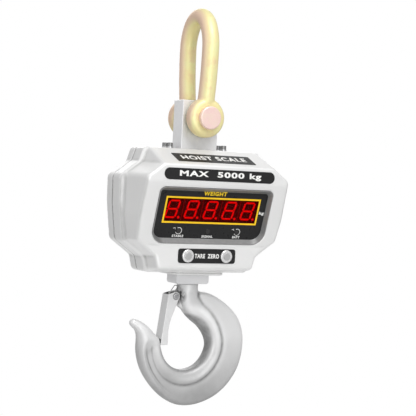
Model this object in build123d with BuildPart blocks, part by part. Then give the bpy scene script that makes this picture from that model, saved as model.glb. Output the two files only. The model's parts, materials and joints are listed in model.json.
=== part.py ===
"""Crane scale for five-tonne loads, as an assembly of separate named pieces.

Frame: X to the right, -Y out of the display, +Z up. The origin is the highest point inside the
shackle bow, on the load line. Lengths are in millimetres.
"""

from build123d import *
import os
from math import atan2, cos, degrees, hypot, radians, sin

# ---------------------------------------------------------------- driving dimensions

# levels along the load line
pin_z = -137.5  # shackle pin
lug_top_z = -112.0
housing_top_z = -184.0
housing_bottom_z = -365.0
block_bottom_z = -383.0
bowl_z = -472.0  # centre of the hook's bowl
bowl_x = -3.0

running_gap = 0.06  # radial clearance of a turning fit
through = 20.0  # length of a cut that passes right through its wall

# shackle
bow_bar_r = 12.5
bow_half_width = 35.0  # centreline, at the widest
crown_r = 30.0
shoulder_r = 60.0
leg_r = 480.0
leg_foot_z = -118.0
eye_inner_y = 18.0
eye_outer_y = 40.0
eye_corner_r = 8.0
eye_r = 29.0
spot_face_r = 21.5
pin_r = 14.0
pin_head_r = 17.0
pin_head_length = 8.0

# load cell
lug_half_width = 29.8
lug_half_depth = 14.5
yoke_half_width = 40.0
yoke_half_depth = 24.0
yoke_top_z = -282.0
yoke_bottom_z = -348.0
window_half_width = 26.0
window_top_z = -288.0
window_floor_z = -338.0
yoke_corner_r = 6.0
window_corner_r = 4.0
block_half_width = 27.1
block_half_depth = 15.3
pocket_width = 34.0
pocket_height = 46.0
pocket_depth = 6.0
pocket_z = -228.0
pocket_corner_r = 6.0
bracket_screw_places = [(0, -207.0), (0, -223.0)]
bracket_screw_r = 3.0
threaded_depth = 10.0

# housing
wall = 4.0
band_depth = 25.0
shoulder_depth = 28.5
front_depth = 84.0
rear_band_depth = 18.0
rear_shoulder_depth = 28.0
rear_depth = 82.0
half_gasket = 0.75

# the front's sloping display face, as (distance in front of the joint plane, z)
roof_start = (30.3, -184.3)
face_top = (84.0, -232.0)
face_bottom = (54.5, -323.5)
roof_front_z = -206.8

# hook
shank_r = 16.0
stem_r = 14.0
thread_r = 13.0
bowl_r = 40.0
web_half_thickness = 9.0
bead_r = 13.0

# latch
latch_pivot = (-23.5, -402.0)
latch_half_width = 10.0
latch_sheet = 1.6
rivet_r = 3.0

# buttons
button_x = 31.8
button_z = -338.6
button_cap_r = 5.5
button_travel = 1.5

FRONT = Plane.XZ  # sketches seen from the front; its normal is -Y
BACK = Plane(origin=(0, 0, 0), x_dir=(-1, 0, 0), z_dir=(0, 1, 0))
PIN_AXIS = Axis((0, 0, pin_z), (0, 1, 0))

os.makedirs("parts", exist_ok=True)
pieces = {}


def both_sides(points):
    """The right half of an outline, from top to bottom, closed by its mirror image."""
    return points + [(-x, z) for x, z in reversed(points)]


# ---------------------------------------------------------------- shackle

blend_sine = (shoulder_r - bow_half_width) / (shoulder_r - crown_r)
blend_angle = degrees(atan2(blend_sine, (1 - blend_sine**2) ** 0.5))
crown_centre_z = bow_bar_r - crown_r
shoulder_centre_x = bow_half_width - shoulder_r
shoulder_centre_z = crown_centre_z - (shoulder_r - crown_r) * cos(radians(blend_angle))
leg_sine = (shoulder_centre_z - leg_foot_z) / leg_r
leg_angle = degrees(atan2(leg_sine, (1 - leg_sine**2) ** 0.5))

with BuildPart() as shackle_bow:
    with BuildLine(Plane.YZ) as bow_line:
        CenterArc((0, crown_centre_z), crown_r, 90 - blend_angle, 2 * blend_angle)
        CenterArc((shoulder_centre_x, shoulder_centre_z), shoulder_r, 0, 90 - blend_angle)
        CenterArc((-shoulder_centre_x, shoulder_centre_z), shoulder_r, 90 + blend_angle, 90 - blend_angle)
        CenterArc((bow_half_width - leg_r, shoulder_centre_z), leg_r, -leg_angle, leg_angle)
        CenterArc((leg_r - bow_half_width, shoulder_centre_z), leg_r, 180, leg_angle)
    bow_path = bow_line.wire()
    with BuildSketch(Plane(origin=bow_path @ 0, z_dir=bow_path % 0)):
        Circle(bow_bar_r)
    sweep(path=bow_path)
    for side in (1, -1):
        with BuildSketch(Plane.YZ) as eye_section:
            with Locations((side * (eye_inner_y + eye_outer_y) / 2, pin_z + (pin_r + eye_r) / 2)):
                Rectangle(eye_outer_y - eye_inner_y, eye_r - pin_r)
            outer_corners = eye_section.vertices().group_by(Axis.Y)[-1]
            fillet(outer_corners, radius=eye_corner_r)
        revolve(axis=PIN_AXIS)
    jaw_top_z = pin_z + eye_r + 1
    with BuildSketch(FRONT):
        with Locations((0, jaw_top_z - eye_r)):
            Rectangle(4 * bow_bar_r, 2 * eye_r)
    extrude(amount=eye_inner_y - 1, both=True, mode=Mode.SUBTRACT)
    with BuildSketch(FRONT):
        with Locations((0, pin_z)):
            Circle(pin_r + 0.1)
    extrude(amount=eye_outer_y + 5, both=True, mode=Mode.SUBTRACT)
    for face_plane in (FRONT, BACK):
        with BuildSketch(face_plane.offset(eye_outer_y)):
            with Locations((0, pin_z)):
                Circle(spot_face_r)
        extrude(amount=10, mode=Mode.SUBTRACT)
pieces["shackle_bow"] = shackle_bow

pin_end_y = 53.0
split_pin_y = 48.0
split_pin_r = 2.1
split_pin_hole_r = 2.3
washer_r = 21.0
washer_thickness = 3.0
split_pin_tail = (11.0, -5.0)
split_pin_bend_r = 5.0
split_pin_ring_r = 4.2
with BuildPart() as shackle_pin:
    with BuildSketch(Plane.YZ):
        with BuildLine():
            FilletPolyline(
                (-eye_outer_y - pin_head_length, pin_z),
                (-eye_outer_y - pin_head_length, pin_z + pin_head_r),
                (-eye_outer_y, pin_z + pin_head_r),
                (-eye_outer_y, pin_z + pin_r),
                (pin_end_y, pin_z + pin_r),
                (pin_end_y, pin_z),
                radius=(1.6, 0.6, 0, 1.5),
            )
            Line((pin_end_y, pin_z), (-eye_outer_y - pin_head_length, pin_z))
        make_face()
    revolve(axis=PIN_AXIS)
    with BuildSketch(Plane.XY.offset(pin_z)):
        with Locations((0, split_pin_y)):
            Circle(split_pin_hole_r)
    extrude(amount=2 * pin_r, both=True, mode=Mode.SUBTRACT)
pieces["shackle_pin"] = shackle_pin

with BuildPart() as pin_washer:
    with BuildSketch(BACK.offset(eye_outer_y)):
        with Locations((0, pin_z)):
            Circle(washer_r)
            Circle(pin_r + 0.3, mode=Mode.SUBTRACT)
    extrude(amount=washer_thickness)
    chamfer(pin_washer.edges().filter_by(GeomType.CIRCLE).group_by(Axis.Y)[-1], length=0.5)
pieces["pin_washer"] = pin_washer

split_pin_top = pin_z + pin_r + 2
split_pin_foot = pin_z - pin_r - 3
with BuildPart() as split_pin:
    with BuildLine(Plane.YZ) as split_pin_line:
        FilletPolyline(
            (split_pin_y, split_pin_top),
            (split_pin_y, split_pin_foot),
            (split_pin_y + split_pin_tail[0], split_pin_foot + split_pin_tail[1]),
            radius=split_pin_bend_r,
        )
    split_pin_path = split_pin_line.wire()
    with BuildSketch(Plane(origin=split_pin_path @ 0, z_dir=split_pin_path % 0)):
        Circle(split_pin_r)
    sweep(path=split_pin_path)
    with Locations(Plane(origin=(0, split_pin_y + 2, split_pin_top + 3.5), z_dir=(1, 0, 0))):
        Torus(split_pin_ring_r, split_pin_r * 0.8)
pieces["split_pin"] = split_pin

# ---------------------------------------------------------------- load cell

with BuildPart() as load_cell:
    with BuildSketch(FRONT):
        with Locations((0, (lug_top_z + yoke_top_z) / 2)):
            Rectangle(2 * lug_half_width, lug_top_z - yoke_top_z)
    extrude(amount=lug_half_depth, both=True)
    chamfer(load_cell.faces().sort_by(Axis.Z)[-1].edges(), length=1.2)
    fillet(load_cell.edges().filter_by(Axis.Z), radius=1.0)
    with BuildSketch(FRONT):
        with Locations((0, (yoke_top_z + yoke_bottom_z) / 2)):
            RectangleRounded(2 * yoke_half_width, yoke_top_z - yoke_bottom_z, yoke_corner_r)
    extrude(amount=yoke_half_depth, both=True)
    with BuildSketch(FRONT) as block_outline:
        with Locations((0, (yoke_bottom_z + block_bottom_z) / 2)):
            Rectangle(2 * block_half_width, yoke_bottom_z - block_bottom_z)
        fillet(block_outline.vertices().group_by(Axis.Y)[0], radius=4)
    extrude(amount=block_half_depth, both=True)
    with BuildSketch(FRONT):
        with Locations((0, (window_top_z + window_floor_z) / 2)):
            RectangleRounded(2 * window_half_width, window_top_z - window_floor_z, window_corner_r)
    extrude(amount=yoke_half_depth, both=True, mode=Mode.SUBTRACT)
    with BuildSketch(FRONT):
        with Locations((0, pin_z)):
            Circle(pin_r + running_gap)
    extrude(amount=lug_half_depth, both=True, mode=Mode.SUBTRACT)
    with BuildSketch(Plane.XY.offset(block_bottom_z)):
        Circle(stem_r + running_gap)
    extrude(amount=window_floor_z - block_bottom_z, mode=Mode.SUBTRACT)
    for face_plane in (FRONT, BACK):
        with BuildSketch(face_plane.offset(lug_half_depth)):
            with Locations((0, pocket_z)):
                RectangleRounded(pocket_width, pocket_height, pocket_corner_r)
        extrude(amount=-pocket_depth, mode=Mode.SUBTRACT)
    for side in (1, -1):
        with BuildSketch(Plane.YZ.offset(side * lug_half_width)):
            with Locations(*bracket_screw_places):
                Circle(bracket_screw_r)
        extrude(amount=-side * threaded_depth, mode=Mode.SUBTRACT)
pieces["load_cell"] = load_cell

gauge_floor_y = lug_half_depth - pocket_depth
gauge_x = 7.0
gauge_size = (9.0, 14.0)
foil_thickness = 0.4
with BuildPart() as strain_gauges:
    for face_plane in (FRONT, BACK):
        with BuildSketch(face_plane.offset(gauge_floor_y)):
            with Locations((-gauge_x, pocket_z), (gauge_x, pocket_z)):
                Rectangle(*gauge_size)
        extrude(amount=foil_thickness)
pieces["strain_gauges"] = strain_gauges

cover_plate_thickness = 1.2
cover_plate_lap = 8.0  # how much wider and taller than the pocket
with BuildPart() as gauge_covers:
    for face_plane in (FRONT, BACK):
        with BuildSketch(face_plane.offset(lug_half_depth)):
            with Locations((0, pocket_z)):
                RectangleRounded(pocket_width + cover_plate_lap, pocket_height + cover_plate_lap, 8)
        extrude(amount=cover_plate_thickness)
pieces["gauge_covers"] = gauge_covers

bracket_top_z = -191.5
bracket_sheet = 5.0
bracket_reach = 62.0
bracket_foot_z = -236.0
top_screw_x = 45.0
top_screw_y = 8.0
top_screw_r = 2.5
with BuildPart() as cell_brackets:
    for side in (1, -1):
        with BuildSketch(FRONT):
            with BuildLine():
                Polyline(
                    (side * lug_half_width, bracket_top_z),
                    (side * bracket_reach, bracket_top_z),
                    (side * bracket_reach, bracket_top_z - bracket_sheet),
                    (side * (lug_half_width + bracket_sheet), bracket_top_z - bracket_sheet),
                    (side * (lug_half_width + bracket_sheet), bracket_foot_z),
                    (side * lug_half_width, bracket_foot_z),
                    close=True,
                )
            make_face()
        extrude(amount=lug_half_depth, both=True)
    with BuildSketch(Plane.XY.offset(bracket_top_z)):
        with GridLocations(2 * top_screw_x, 2 * top_screw_y, 2, 2):
            Circle(top_screw_r)
    extrude(amount=-bracket_sheet, mode=Mode.SUBTRACT)
    with BuildSketch(Plane.YZ):
        with Locations(*bracket_screw_places):
            Circle(bracket_screw_r)
    extrude(amount=bracket_reach, both=True, mode=Mode.SUBTRACT)
pieces["cell_brackets"] = cell_brackets

bracket_head_r = 5.5
bracket_head_height = 4.0
with BuildPart() as bracket_screws:
    for side in (1, -1):
        with BuildSketch(Plane.YZ.offset(side * (lug_half_width + bracket_sheet))):
            with Locations(*bracket_screw_places):
                RegularPolygon(bracket_head_r, 6)
        extrude(amount=side * bracket_head_height)
        with BuildSketch(Plane.YZ.offset(side * (lug_half_width + bracket_sheet))):
            with Locations(*bracket_screw_places):
                Circle(bracket_screw_r)
        extrude(amount=-side * (bracket_sheet + threaded_depth - 1))
pieces["bracket_screws"] = bracket_screws

# ---------------------------------------------------------------- housing

seam_corners = [
    (95.5, housing_top_z),
    (102.5, -204.5),
    (131.5, -226.5),
    (130.4, -268.0),
    (124.0, -319.0),
    (91.0, -342.5),
    (85.5, housing_bottom_z),
]
seam_radii = [7, 6, 11, 60, 9, 7, 8]
# where the raised front leaves the shoulder, and its drafted outline at the front
root_corners = [
    (89.5, roof_start[1]),
    (97.0, -205.5),
    (123.5, -224.0),
    (123.5, -282.0),
    (118.5, -317.0),
    (87.0, -341.0),
    (81.5, -362.0),
]
root_radii = [7, 6, 10, 60, 8, 7, 8]
raised_corners = [
    (83.0, roof_start[1]),
    (91.0, -206.5),
    (116.0, -225.0),
    (115.3, -283.0),
    (110.7, -315.0),
    (78.5, -338.0),
    (73.0, -355.3),
]
raised_radii = [6, 6, 9, 60, 7, 7, 7]
rear_corners = [
    (57.0, -190.0),
    (66.0, -205.0),
    (92.0, -224.0),
    (92.0, -288.0),
    (88.0, -312.0),
    (60.0, -336.0),
    (52.0, -354.0),
]
rear_radii = [8, 6, 9, 60, 7, 7, 8]


def outline(corners, radii, inset=0):
    """A rounded outline, symmetrical about the load line, drawn the given distance inside."""
    with BuildSketch() as shape:
        with BuildLine():
            FilletPolyline(*both_sides(corners), radius=radii + radii[::-1], close=True)
        make_face()
        if inset:
            offset(amount=-inset, kind=Kind.INTERSECTION)
    return shape.sketch


def side_profile(points):
    """A closed polygon of (y, z) points."""
    with BuildSketch() as shape:
        with BuildLine():
            Polyline(*points, close=True)
        make_face()
    return shape.sketch


profile_foot_z = -400.0  # below the whole case
profile_top_z = roof_start[1] + 5
slope_wall_rise = 0.6  # the inner corners lie where the walls keep their thickness
roof_wall_drop = 2.8
roof_wall_reach = 0.8
front_profile = [
    (0, profile_top_z),
    (0, profile_foot_z),
    (-face_bottom[0], profile_foot_z),
    (-face_bottom[0], face_bottom[1]),
    (-face_top[0], face_top[1]),
    (-face_top[0], roof_front_z),
    (-roof_start[0], roof_start[1]),
    (-roof_start[0], profile_top_z),
]
inner_profile = [
    (0, roof_start[1] - wall),
    (0, profile_foot_z),
    (-face_bottom[0] + wall, profile_foot_z),
    (-face_bottom[0] + wall, face_bottom[1] + slope_wall_rise),
    (-face_top[0] + wall, face_top[1] + slope_wall_rise),
    (-face_top[0] + wall, roof_front_z - roof_wall_drop),
    (-roof_start[0] - roof_wall_reach, roof_start[1] - wall),
]

# the sloping face, with its plane's origin at the middle of the display window
slope_run = face_top[0] - face_bottom[0]
slope_drop = face_top[1] - face_bottom[1]
slope_angle = atan2(slope_run, slope_drop)
window_down_slope = 51.0
face_origin = (
    0,
    -(face_top[0] - window_down_slope * sin(slope_angle)),
    face_top[1] - window_down_slope * cos(slope_angle),
)
FACE = Plane(origin=face_origin, x_dir=(1, 0, 0), z_dir=(0, -cos(slope_angle), -sin(slope_angle)))
roof_angle = atan2(roof_start[1] - roof_front_z, face_top[0] - roof_start[0])
title_forward = 61.5
ROOF = Plane(
    origin=(
        0,
        -title_forward,
        roof_start[1] - (title_forward - roof_start[0]) * sin(roof_angle) / cos(roof_angle),
    ),
    x_dir=(1, 0, 0),
    z_dir=(0, -sin(roof_angle), cos(roof_angle)),
)

recess_width = 186.6
recess_height = 85.5
panel_width = 180.0
panel_height = 74.5
panel_drop = -0.6
bezel_lip = 2.4  # how much narrower the bezel is inside its rim
panel_ledge = 2.0
panel_depth = 7.0
panel_thickness = 2.5


def window_outline(width, height, top_radius, bottom_radius):
    """A rectangle with its lower corners rounded more than its upper ones."""
    with BuildSketch() as shape:
        Rectangle(width, height)
        fillet(shape.vertices().group_by(Axis.Y)[-1], radius=top_radius)
        fillet(shape.vertices().group_by(Axis.Y)[0], radius=bottom_radius)
    return shape.sketch


recess_shape = window_outline(recess_width, recess_height, 9, 21)
panel_shape = window_outline(panel_width, panel_height, 6, 16)

case_width = 300.0
face_edge_r = 4.5
steepest_face_edge = 0.97  # edges that run nearer to straight back stay sharp here
rim_inset = 0.5  # by which the seam wall is thicker than the rest

with BuildPart() as front_raised:
    with BuildSketch(FRONT.offset(shoulder_depth)):
        add(outline(root_corners, root_radii))
    with BuildSketch(FRONT.offset(front_depth)):
        add(outline(raised_corners, raised_radii))
    loft(ruled=True)
    with BuildSketch(Plane.YZ):
        add(side_profile(front_profile))
    extrude(amount=case_width, both=True, mode=Mode.INTERSECT)
    face_edges = front_raised.edges().filter_by(
        lambda edge: edge.center().Y < 0.1 - face_bottom[0]
        and abs(edge.tangent_at(0.5).Y) < steepest_face_edge
    )
    fillet(face_edges, radius=face_edge_r)

with BuildPart() as front_shoulder:
    with BuildSketch(FRONT.offset(band_depth)):
        add(outline(seam_corners, seam_radii))
    with BuildSketch(FRONT.offset(shoulder_depth)):
        add(outline(root_corners, root_radii))
    loft(ruled=True)
    with BuildSketch(FRONT.offset(half_gasket)):
        add(outline(seam_corners, seam_radii))
    extrude(amount=band_depth - half_gasket)

with BuildPart() as front_cavity:
    with BuildSketch(FRONT.offset(half_gasket)):
        add(outline(raised_corners, raised_radii, wall))
    extrude(amount=front_depth)
    with BuildSketch(Plane.YZ):
        add(side_profile(inner_profile))
    extrude(amount=case_width, both=True, mode=Mode.INTERSECT)
    with BuildSketch(FRONT.offset(half_gasket)):
        add(outline(seam_corners, seam_radii, wall + rim_inset))
    extrude(amount=band_depth - wall)


lug_hole = (lug_half_width + 1.5, lug_half_depth + 1.7)
block_hole = (block_half_width + 1.5, block_half_depth + 1.7)
collar_half_width = 42.0
collar_half_depth = 38.0
collar_height = 8.5
base_plate_thickness = 3.5
base_screw_x = 35.0
base_screw_y = 28.0
case_screw_places = [(119.0, -240.0), (-119.0, -240.0), (115.5, -303.0), (-115.5, -303.0)]
case_screw_r = 2.0
case_boss_r = 5.5
case_head_r = 4.25
case_head_height = 4.0
top_hole_r = 2.7
top_boss_r = 5.2
base_screw_r = 1.6
ring_barrel_r = 6.9


def half_collar(side):
    """The half of the collar round the block that one cover carries; side is the sign of Y."""
    with BuildSketch() as shape:
        with Locations((0, side * (collar_half_depth + half_gasket) / 2)):
            Rectangle(2 * collar_half_width, collar_half_depth - half_gasket)
        outer_corners = shape.vertices().group_by(Axis.Y)[-1 if side > 0 else 0]
        fillet(outer_corners, radius=11)
    return shape.sketch


def load_path_holes(solid, side):
    """Add a cover's half collar, then cut the openings for the lug, the block and the top screws."""
    with BuildPart() as cover:
        add(solid)
        with BuildSketch(Plane.XY.offset(housing_bottom_z)):
            add(half_collar(side))
        extrude(amount=collar_height)
        with BuildSketch(Plane.XY.offset(housing_bottom_z)):
            with Locations((base_screw_x, side * base_screw_y), (-base_screw_x, side * base_screw_y)):
                Circle(base_screw_r)
        extrude(amount=collar_height - 1, mode=Mode.SUBTRACT)
        with BuildSketch(Plane.XY.offset(bracket_top_z)):
            with Locations((top_screw_x, side * top_screw_y), (-top_screw_x, side * top_screw_y)):
                Circle(top_boss_r)
        extrude(amount=housing_top_z - 1 - bracket_top_z)
        with BuildSketch(Plane.XY.offset(housing_top_z - 10)):
            Rectangle(2 * lug_hole[0], 2 * lug_hole[1])
        extrude(amount=through, mode=Mode.SUBTRACT)
        with BuildSketch(Plane.XY.offset(housing_bottom_z)):
            Rectangle(2 * block_hole[0], 2 * block_hole[1])
        extrude(amount=2 * collar_height, mode=Mode.SUBTRACT)
        with BuildSketch(Plane.XY.offset(housing_top_z)):
            with Locations((top_screw_x, side * top_screw_y), (-top_screw_x, side * top_screw_y)):
                Circle(top_hole_r)
        extrude(amount=-10, mode=Mode.SUBTRACT)
    return cover.part


front_shell = front_raised.part + front_shoulder.part - front_cavity.part
with BuildPart() as front_cover:
    add(load_path_holes(front_shell, -1))
    with BuildSketch(FACE.offset(6)):
        add(recess_shape)
    extrude(amount=-16, mode=Mode.SUBTRACT)
    with BuildSketch(FRONT.offset(face_bottom[0])):
        with Locations((button_x, button_z), (-button_x, button_z)):
            Circle(ring_barrel_r + 0.1)
    extrude(amount=-2 * wall, mode=Mode.SUBTRACT)
    with BuildSketch(FRONT.offset(half_gasket)):
        with Locations(*case_screw_places):
            Circle(case_boss_r)
    extrude(amount=band_depth - 1)
    with BuildSketch(FRONT.offset(half_gasket)):
        with Locations(*case_screw_places):
            Circle(case_screw_r)
    extrude(amount=band_depth - 3, mode=Mode.SUBTRACT)
pieces["front_cover"] = front_cover

# ---------------------------------------------------------------- back of the case

battery_hole = (54.0, -301.5, -229.5)  # half width, low z, high z
hinge_y = 87.0
hinge_z = -222.0
knuckle_r = 3.5
hinge_pin_r = 1.5
door_half_width = 68.0
door_top_z = -226.0
door_bottom_z = -315.0
door_back_y = 82.6
door_thickness = 3.0
thumb_screw_z = -308.0
socket_place = (38.0, -335.0)
head_seat_y = 15.0
head_hole_r = 4.8
thumb_screw_hole_r = 4.2
socket_hole_r = 6.1
hinge_half_length = 36.0
door_knuckle_gap = 24.0  # half the gap that the door's knuckle turns in
rear_rim_radius = 5.0

with BuildPart() as rear_shell:
    with BuildSketch(BACK.offset(rear_band_depth)):
        add(outline(seam_corners, seam_radii))
    with BuildSketch(BACK.offset(rear_shoulder_depth)):
        add(outline(raised_corners, raised_radii))
    loft(ruled=True)
    with BuildSketch(BACK.offset(half_gasket)):
        add(outline(seam_corners, seam_radii))
    extrude(amount=rear_band_depth - half_gasket)
    with BuildSketch(BACK.offset(rear_shoulder_depth)):
        add(outline(raised_corners, raised_radii))
    with BuildSketch(BACK.offset(rear_depth)):
        add(outline(rear_corners, rear_radii))
    loft(ruled=True)
    fillet(rear_shell.faces().sort_by(Axis.Y)[-1].edges(), radius=rear_rim_radius)
    with BuildSketch(BACK.offset(half_gasket)):
        add(outline(rear_corners, rear_radii, wall))
    extrude(amount=rear_depth - wall - half_gasket, mode=Mode.SUBTRACT)
    with BuildSketch(BACK.offset(half_gasket)):
        add(outline(raised_corners, raised_radii, wall))
    extrude(amount=rear_shoulder_depth - half_gasket, mode=Mode.SUBTRACT)
    with BuildSketch(BACK.offset(half_gasket)):
        add(outline(seam_corners, seam_radii, wall + rim_inset))
    extrude(amount=rear_band_depth - wall, mode=Mode.SUBTRACT)

with BuildPart() as rear_cover:
    add(load_path_holes(rear_shell.part, 1))
    with BuildSketch(BACK.offset(half_gasket)):
        with Locations(*case_screw_places):
            Circle(case_boss_r)
    extrude(amount=rear_band_depth + 3)
    with BuildSketch(BACK.offset(half_gasket)):
        with Locations(*case_screw_places):
            Circle(case_screw_r + 0.3)
    extrude(amount=rear_shoulder_depth, mode=Mode.SUBTRACT)
    with BuildSketch(BACK.offset(head_seat_y)):
        with Locations(*case_screw_places):
            Circle(head_hole_r)
    extrude(amount=rear_shoulder_depth, mode=Mode.SUBTRACT)
    with BuildSketch(BACK.offset(rear_depth + 1)):
        with Locations((0, (battery_hole[1] + battery_hole[2]) / 2)):
            RectangleRounded(2 * battery_hole[0], battery_hole[2] - battery_hole[1], 3)
        with Locations((0, thumb_screw_z)):
            Circle(thumb_screw_hole_r)
        with Locations(socket_place):
            Circle(socket_hole_r)
    extrude(amount=-2 * wall, mode=Mode.SUBTRACT)
    with BuildSketch(Plane.YZ):
        with Locations((hinge_y, hinge_z)):
            Circle(knuckle_r)
        with Locations(((hinge_y + rear_depth - 0.5) / 2, hinge_z)):
            Rectangle(hinge_y - rear_depth + 0.5, 2 * knuckle_r)
        with Locations((hinge_y, hinge_z)):
            Circle(hinge_pin_r, mode=Mode.SUBTRACT)
    extrude(amount=hinge_half_length, both=True)
    with BuildSketch(BACK.offset(rear_depth)):
        with Locations((0, hinge_z)):
            Rectangle(2 * door_knuckle_gap, 6 * knuckle_r)
    extrude(amount=through, mode=Mode.SUBTRACT)
pieces["rear_cover"] = rear_cover

with BuildPart() as seam_gasket:
    with BuildSketch(FRONT):
        add(outline(seam_corners, seam_radii, 1.4))
        add(outline(seam_corners, seam_radii, wall + 0.6), mode=Mode.SUBTRACT)
    extrude(amount=half_gasket, both=True)
    with BuildSketch(Plane.XY.offset(housing_bottom_z - 5)):
        Rectangle(2 * collar_half_width, 4)
    extrude(amount=through, mode=Mode.SUBTRACT)
    with BuildSketch(Plane.XY.offset(housing_top_z - 10)):
        Rectangle(2 * lug_hole[0], 4)
    extrude(amount=through, mode=Mode.SUBTRACT)
pieces["seam_gasket"] = seam_gasket

with BuildPart() as case_screws:
    with BuildSketch(BACK.offset(head_seat_y)):
        with Locations(*case_screw_places):
            Circle(case_head_r)
    extrude(amount=case_head_height)
    with BuildSketch(BACK.offset(head_seat_y + case_head_height)):
        with Locations(*case_screw_places):
            RegularPolygon(2.0, 6)
    extrude(amount=-2, mode=Mode.SUBTRACT)
    with BuildSketch(BACK.offset(head_seat_y)):
        with Locations(*case_screw_places):
            Circle(case_screw_r)
    extrude(amount=-head_seat_y - band_depth + wall)
pieces["case_screws"] = case_screws

washer_height = 2.4
flat_washer_height = 1.0
flat_washer_r = 5.2
spring_washer_r = 4.4
top_screw_head_r = 4.25
top_screw_head_height = 5.5
top_screw_length = 14.0
with BuildPart() as top_washers:
    with BuildSketch(Plane.XY.offset(housing_top_z)):
        with GridLocations(2 * top_screw_x, 2 * top_screw_y, 2, 2):
            Circle(flat_washer_r)
            Circle(top_hole_r, mode=Mode.SUBTRACT)
    extrude(amount=flat_washer_height)
    with BuildSketch(Plane.XY.offset(housing_top_z + flat_washer_height)):
        with GridLocations(2 * top_screw_x, 2 * top_screw_y, 2, 2):
            Circle(spring_washer_r)
            Circle(top_hole_r, mode=Mode.SUBTRACT)
    extrude(amount=washer_height - flat_washer_height)
pieces["top_washers"] = top_washers

with BuildPart() as top_screws:
    with BuildSketch(Plane.XY.offset(housing_top_z + washer_height)):
        with GridLocations(2 * top_screw_x, 2 * top_screw_y, 2, 2):
            Circle(top_screw_head_r)
    extrude(amount=top_screw_head_height)
    chamfer(top_screws.edges().group_by(Axis.Z)[-1], length=0.5)
    with BuildSketch(Plane.XY.offset(housing_top_z + washer_height + top_screw_head_height)):
        with GridLocations(2 * top_screw_x, 2 * top_screw_y, 2, 2):
            RegularPolygon(2.3, 6)
    extrude(amount=-3, mode=Mode.SUBTRACT)
    with BuildSketch(Plane.XY.offset(housing_top_z + washer_height)):
        with GridLocations(2 * top_screw_x, 2 * top_screw_y, 2, 2):
            Circle(top_screw_r)
    extrude(amount=-top_screw_length)
pieces["top_screws"] = top_screws

with BuildPart() as lug_seal:
    with BuildSketch(Plane.XY.offset(housing_top_z - 1.2)):
        Rectangle(2 * lug_hole[0], 2 * lug_hole[1])
        Rectangle(2 * lug_half_width, 2 * lug_half_depth, mode=Mode.SUBTRACT)
    extrude(amount=-2)
pieces["lug_seal"] = lug_seal

with BuildPart() as block_seal:
    with BuildSketch(Plane.XY.offset(housing_bottom_z)):
        Rectangle(2 * block_hole[0], 2 * block_hole[1])
        Rectangle(2 * block_half_width, 2 * block_half_depth, mode=Mode.SUBTRACT)
    extrude(amount=3)
pieces["block_seal"] = block_seal

with BuildPart() as base_plate:
    with BuildSketch(Plane.XY.offset(housing_bottom_z)):
        RectangleRounded(2 * collar_half_width, 2 * collar_half_depth, 11)
        Rectangle(2 * block_half_width + 1, 2 * block_half_depth + 1, mode=Mode.SUBTRACT)
    extrude(amount=-base_plate_thickness)
    fillet(base_plate.faces().sort_by(Axis.Z)[0].outer_wire().edges(), radius=2.2)
    with Locations(Plane(origin=(0, 0, housing_bottom_z - base_plate_thickness), z_dir=(0, 0, -1))):
        with GridLocations(2 * base_screw_x, 2 * base_screw_y, 2, 2):
            CounterSinkHole(base_screw_r + 0.2, 3.2, depth=base_plate_thickness)
pieces["base_plate"] = base_plate

with BuildPart() as base_screws:
    with Locations(Plane.XY.offset(housing_bottom_z - base_plate_thickness + 1.5)):
        with GridLocations(2 * base_screw_x, 2 * base_screw_y, 2, 2):
            Cone(3.0, base_screw_r, 1.4, align=(Align.CENTER, Align.CENTER, Align.MAX))
    with BuildSketch(Plane.XY.offset(housing_bottom_z - base_plate_thickness + 1.4)):
        with GridLocations(2 * base_screw_x, 2 * base_screw_y, 2, 2):
            Circle(base_screw_r)
    extrude(amount=8)
pieces["base_screws"] = base_screws

# ---------------------------------------------------------------- display

window_place = (0, 6.5)
digit_pitch = 31.0
digit_count = 5
glass_width = 150.8
glass_height = 35.4
frame_line = 2.6
light_places = [(-48.0, -25.5), (0.0, -25.5), (49.0, -25.5)]
light_r = 3.9
module_depth = 10.2
light_proud = 0.5
board_depth = 19.0
board_thickness = 1.6
spacer_places = (98.0, 30.0)
spacer_r = 3.5
spacer_top = wall + 0.05
board_hole_r = 1.5
board_screw_r = 1.4
board_size = (206.0, 72.0)
point_r = 1.9
segment_height = 0.4

with BuildPart() as display_bezel:
    with BuildSketch(FACE):
        add(window_outline(recess_width - 0.2, recess_height - 0.2, 8.9, 20.9))
    extrude(amount=-panel_depth - panel_thickness)
    with BuildSketch(FACE):
        add(window_outline(recess_width - bezel_lip, recess_height - bezel_lip, 8, 20))
    with BuildSketch(FACE.offset(-panel_depth)):
        with Locations((0, panel_drop)):
            add(window_outline(panel_width - panel_ledge, panel_height - panel_ledge, 5, 15))
    loft(ruled=True, mode=Mode.SUBTRACT)
    with BuildSketch(FACE.offset(-panel_depth)):
        with Locations((0, panel_drop)):
            add(panel_shape)
    extrude(amount=-panel_thickness, mode=Mode.SUBTRACT)
pieces["display_bezel"] = display_bezel

with BuildPart() as display_panel:
    with BuildSketch(FACE.offset(-panel_depth)):
        with Locations((0, panel_drop)):
            add(window_outline(panel_width - 0.2, panel_height - 0.2, 5.9, 15.9))
        with Locations(window_place):
            Rectangle(glass_width, glass_height, mode=Mode.SUBTRACT)
        with Locations(*light_places):
            Circle(light_r + 0.1, mode=Mode.SUBTRACT)
    extrude(amount=-panel_thickness)
pieces["display_panel"] = display_panel

with BuildPart() as display_frame:
    with BuildSketch(FACE.offset(-panel_depth)):
        with Locations(window_place):
            Rectangle(glass_width + 2 * frame_line, glass_height + 2 * frame_line)
            Rectangle(glass_width, glass_height, mode=Mode.SUBTRACT)
    extrude(amount=0.2)
pieces["display_frame"] = display_frame

with BuildPart() as red_filter:
    with BuildSketch(FACE.offset(-panel_depth)):
        with Locations(window_place):
            Rectangle(glass_width - 0.1, glass_height - 0.1)
    extrude(amount=-panel_thickness)
pieces["red_filter"] = red_filter

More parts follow.
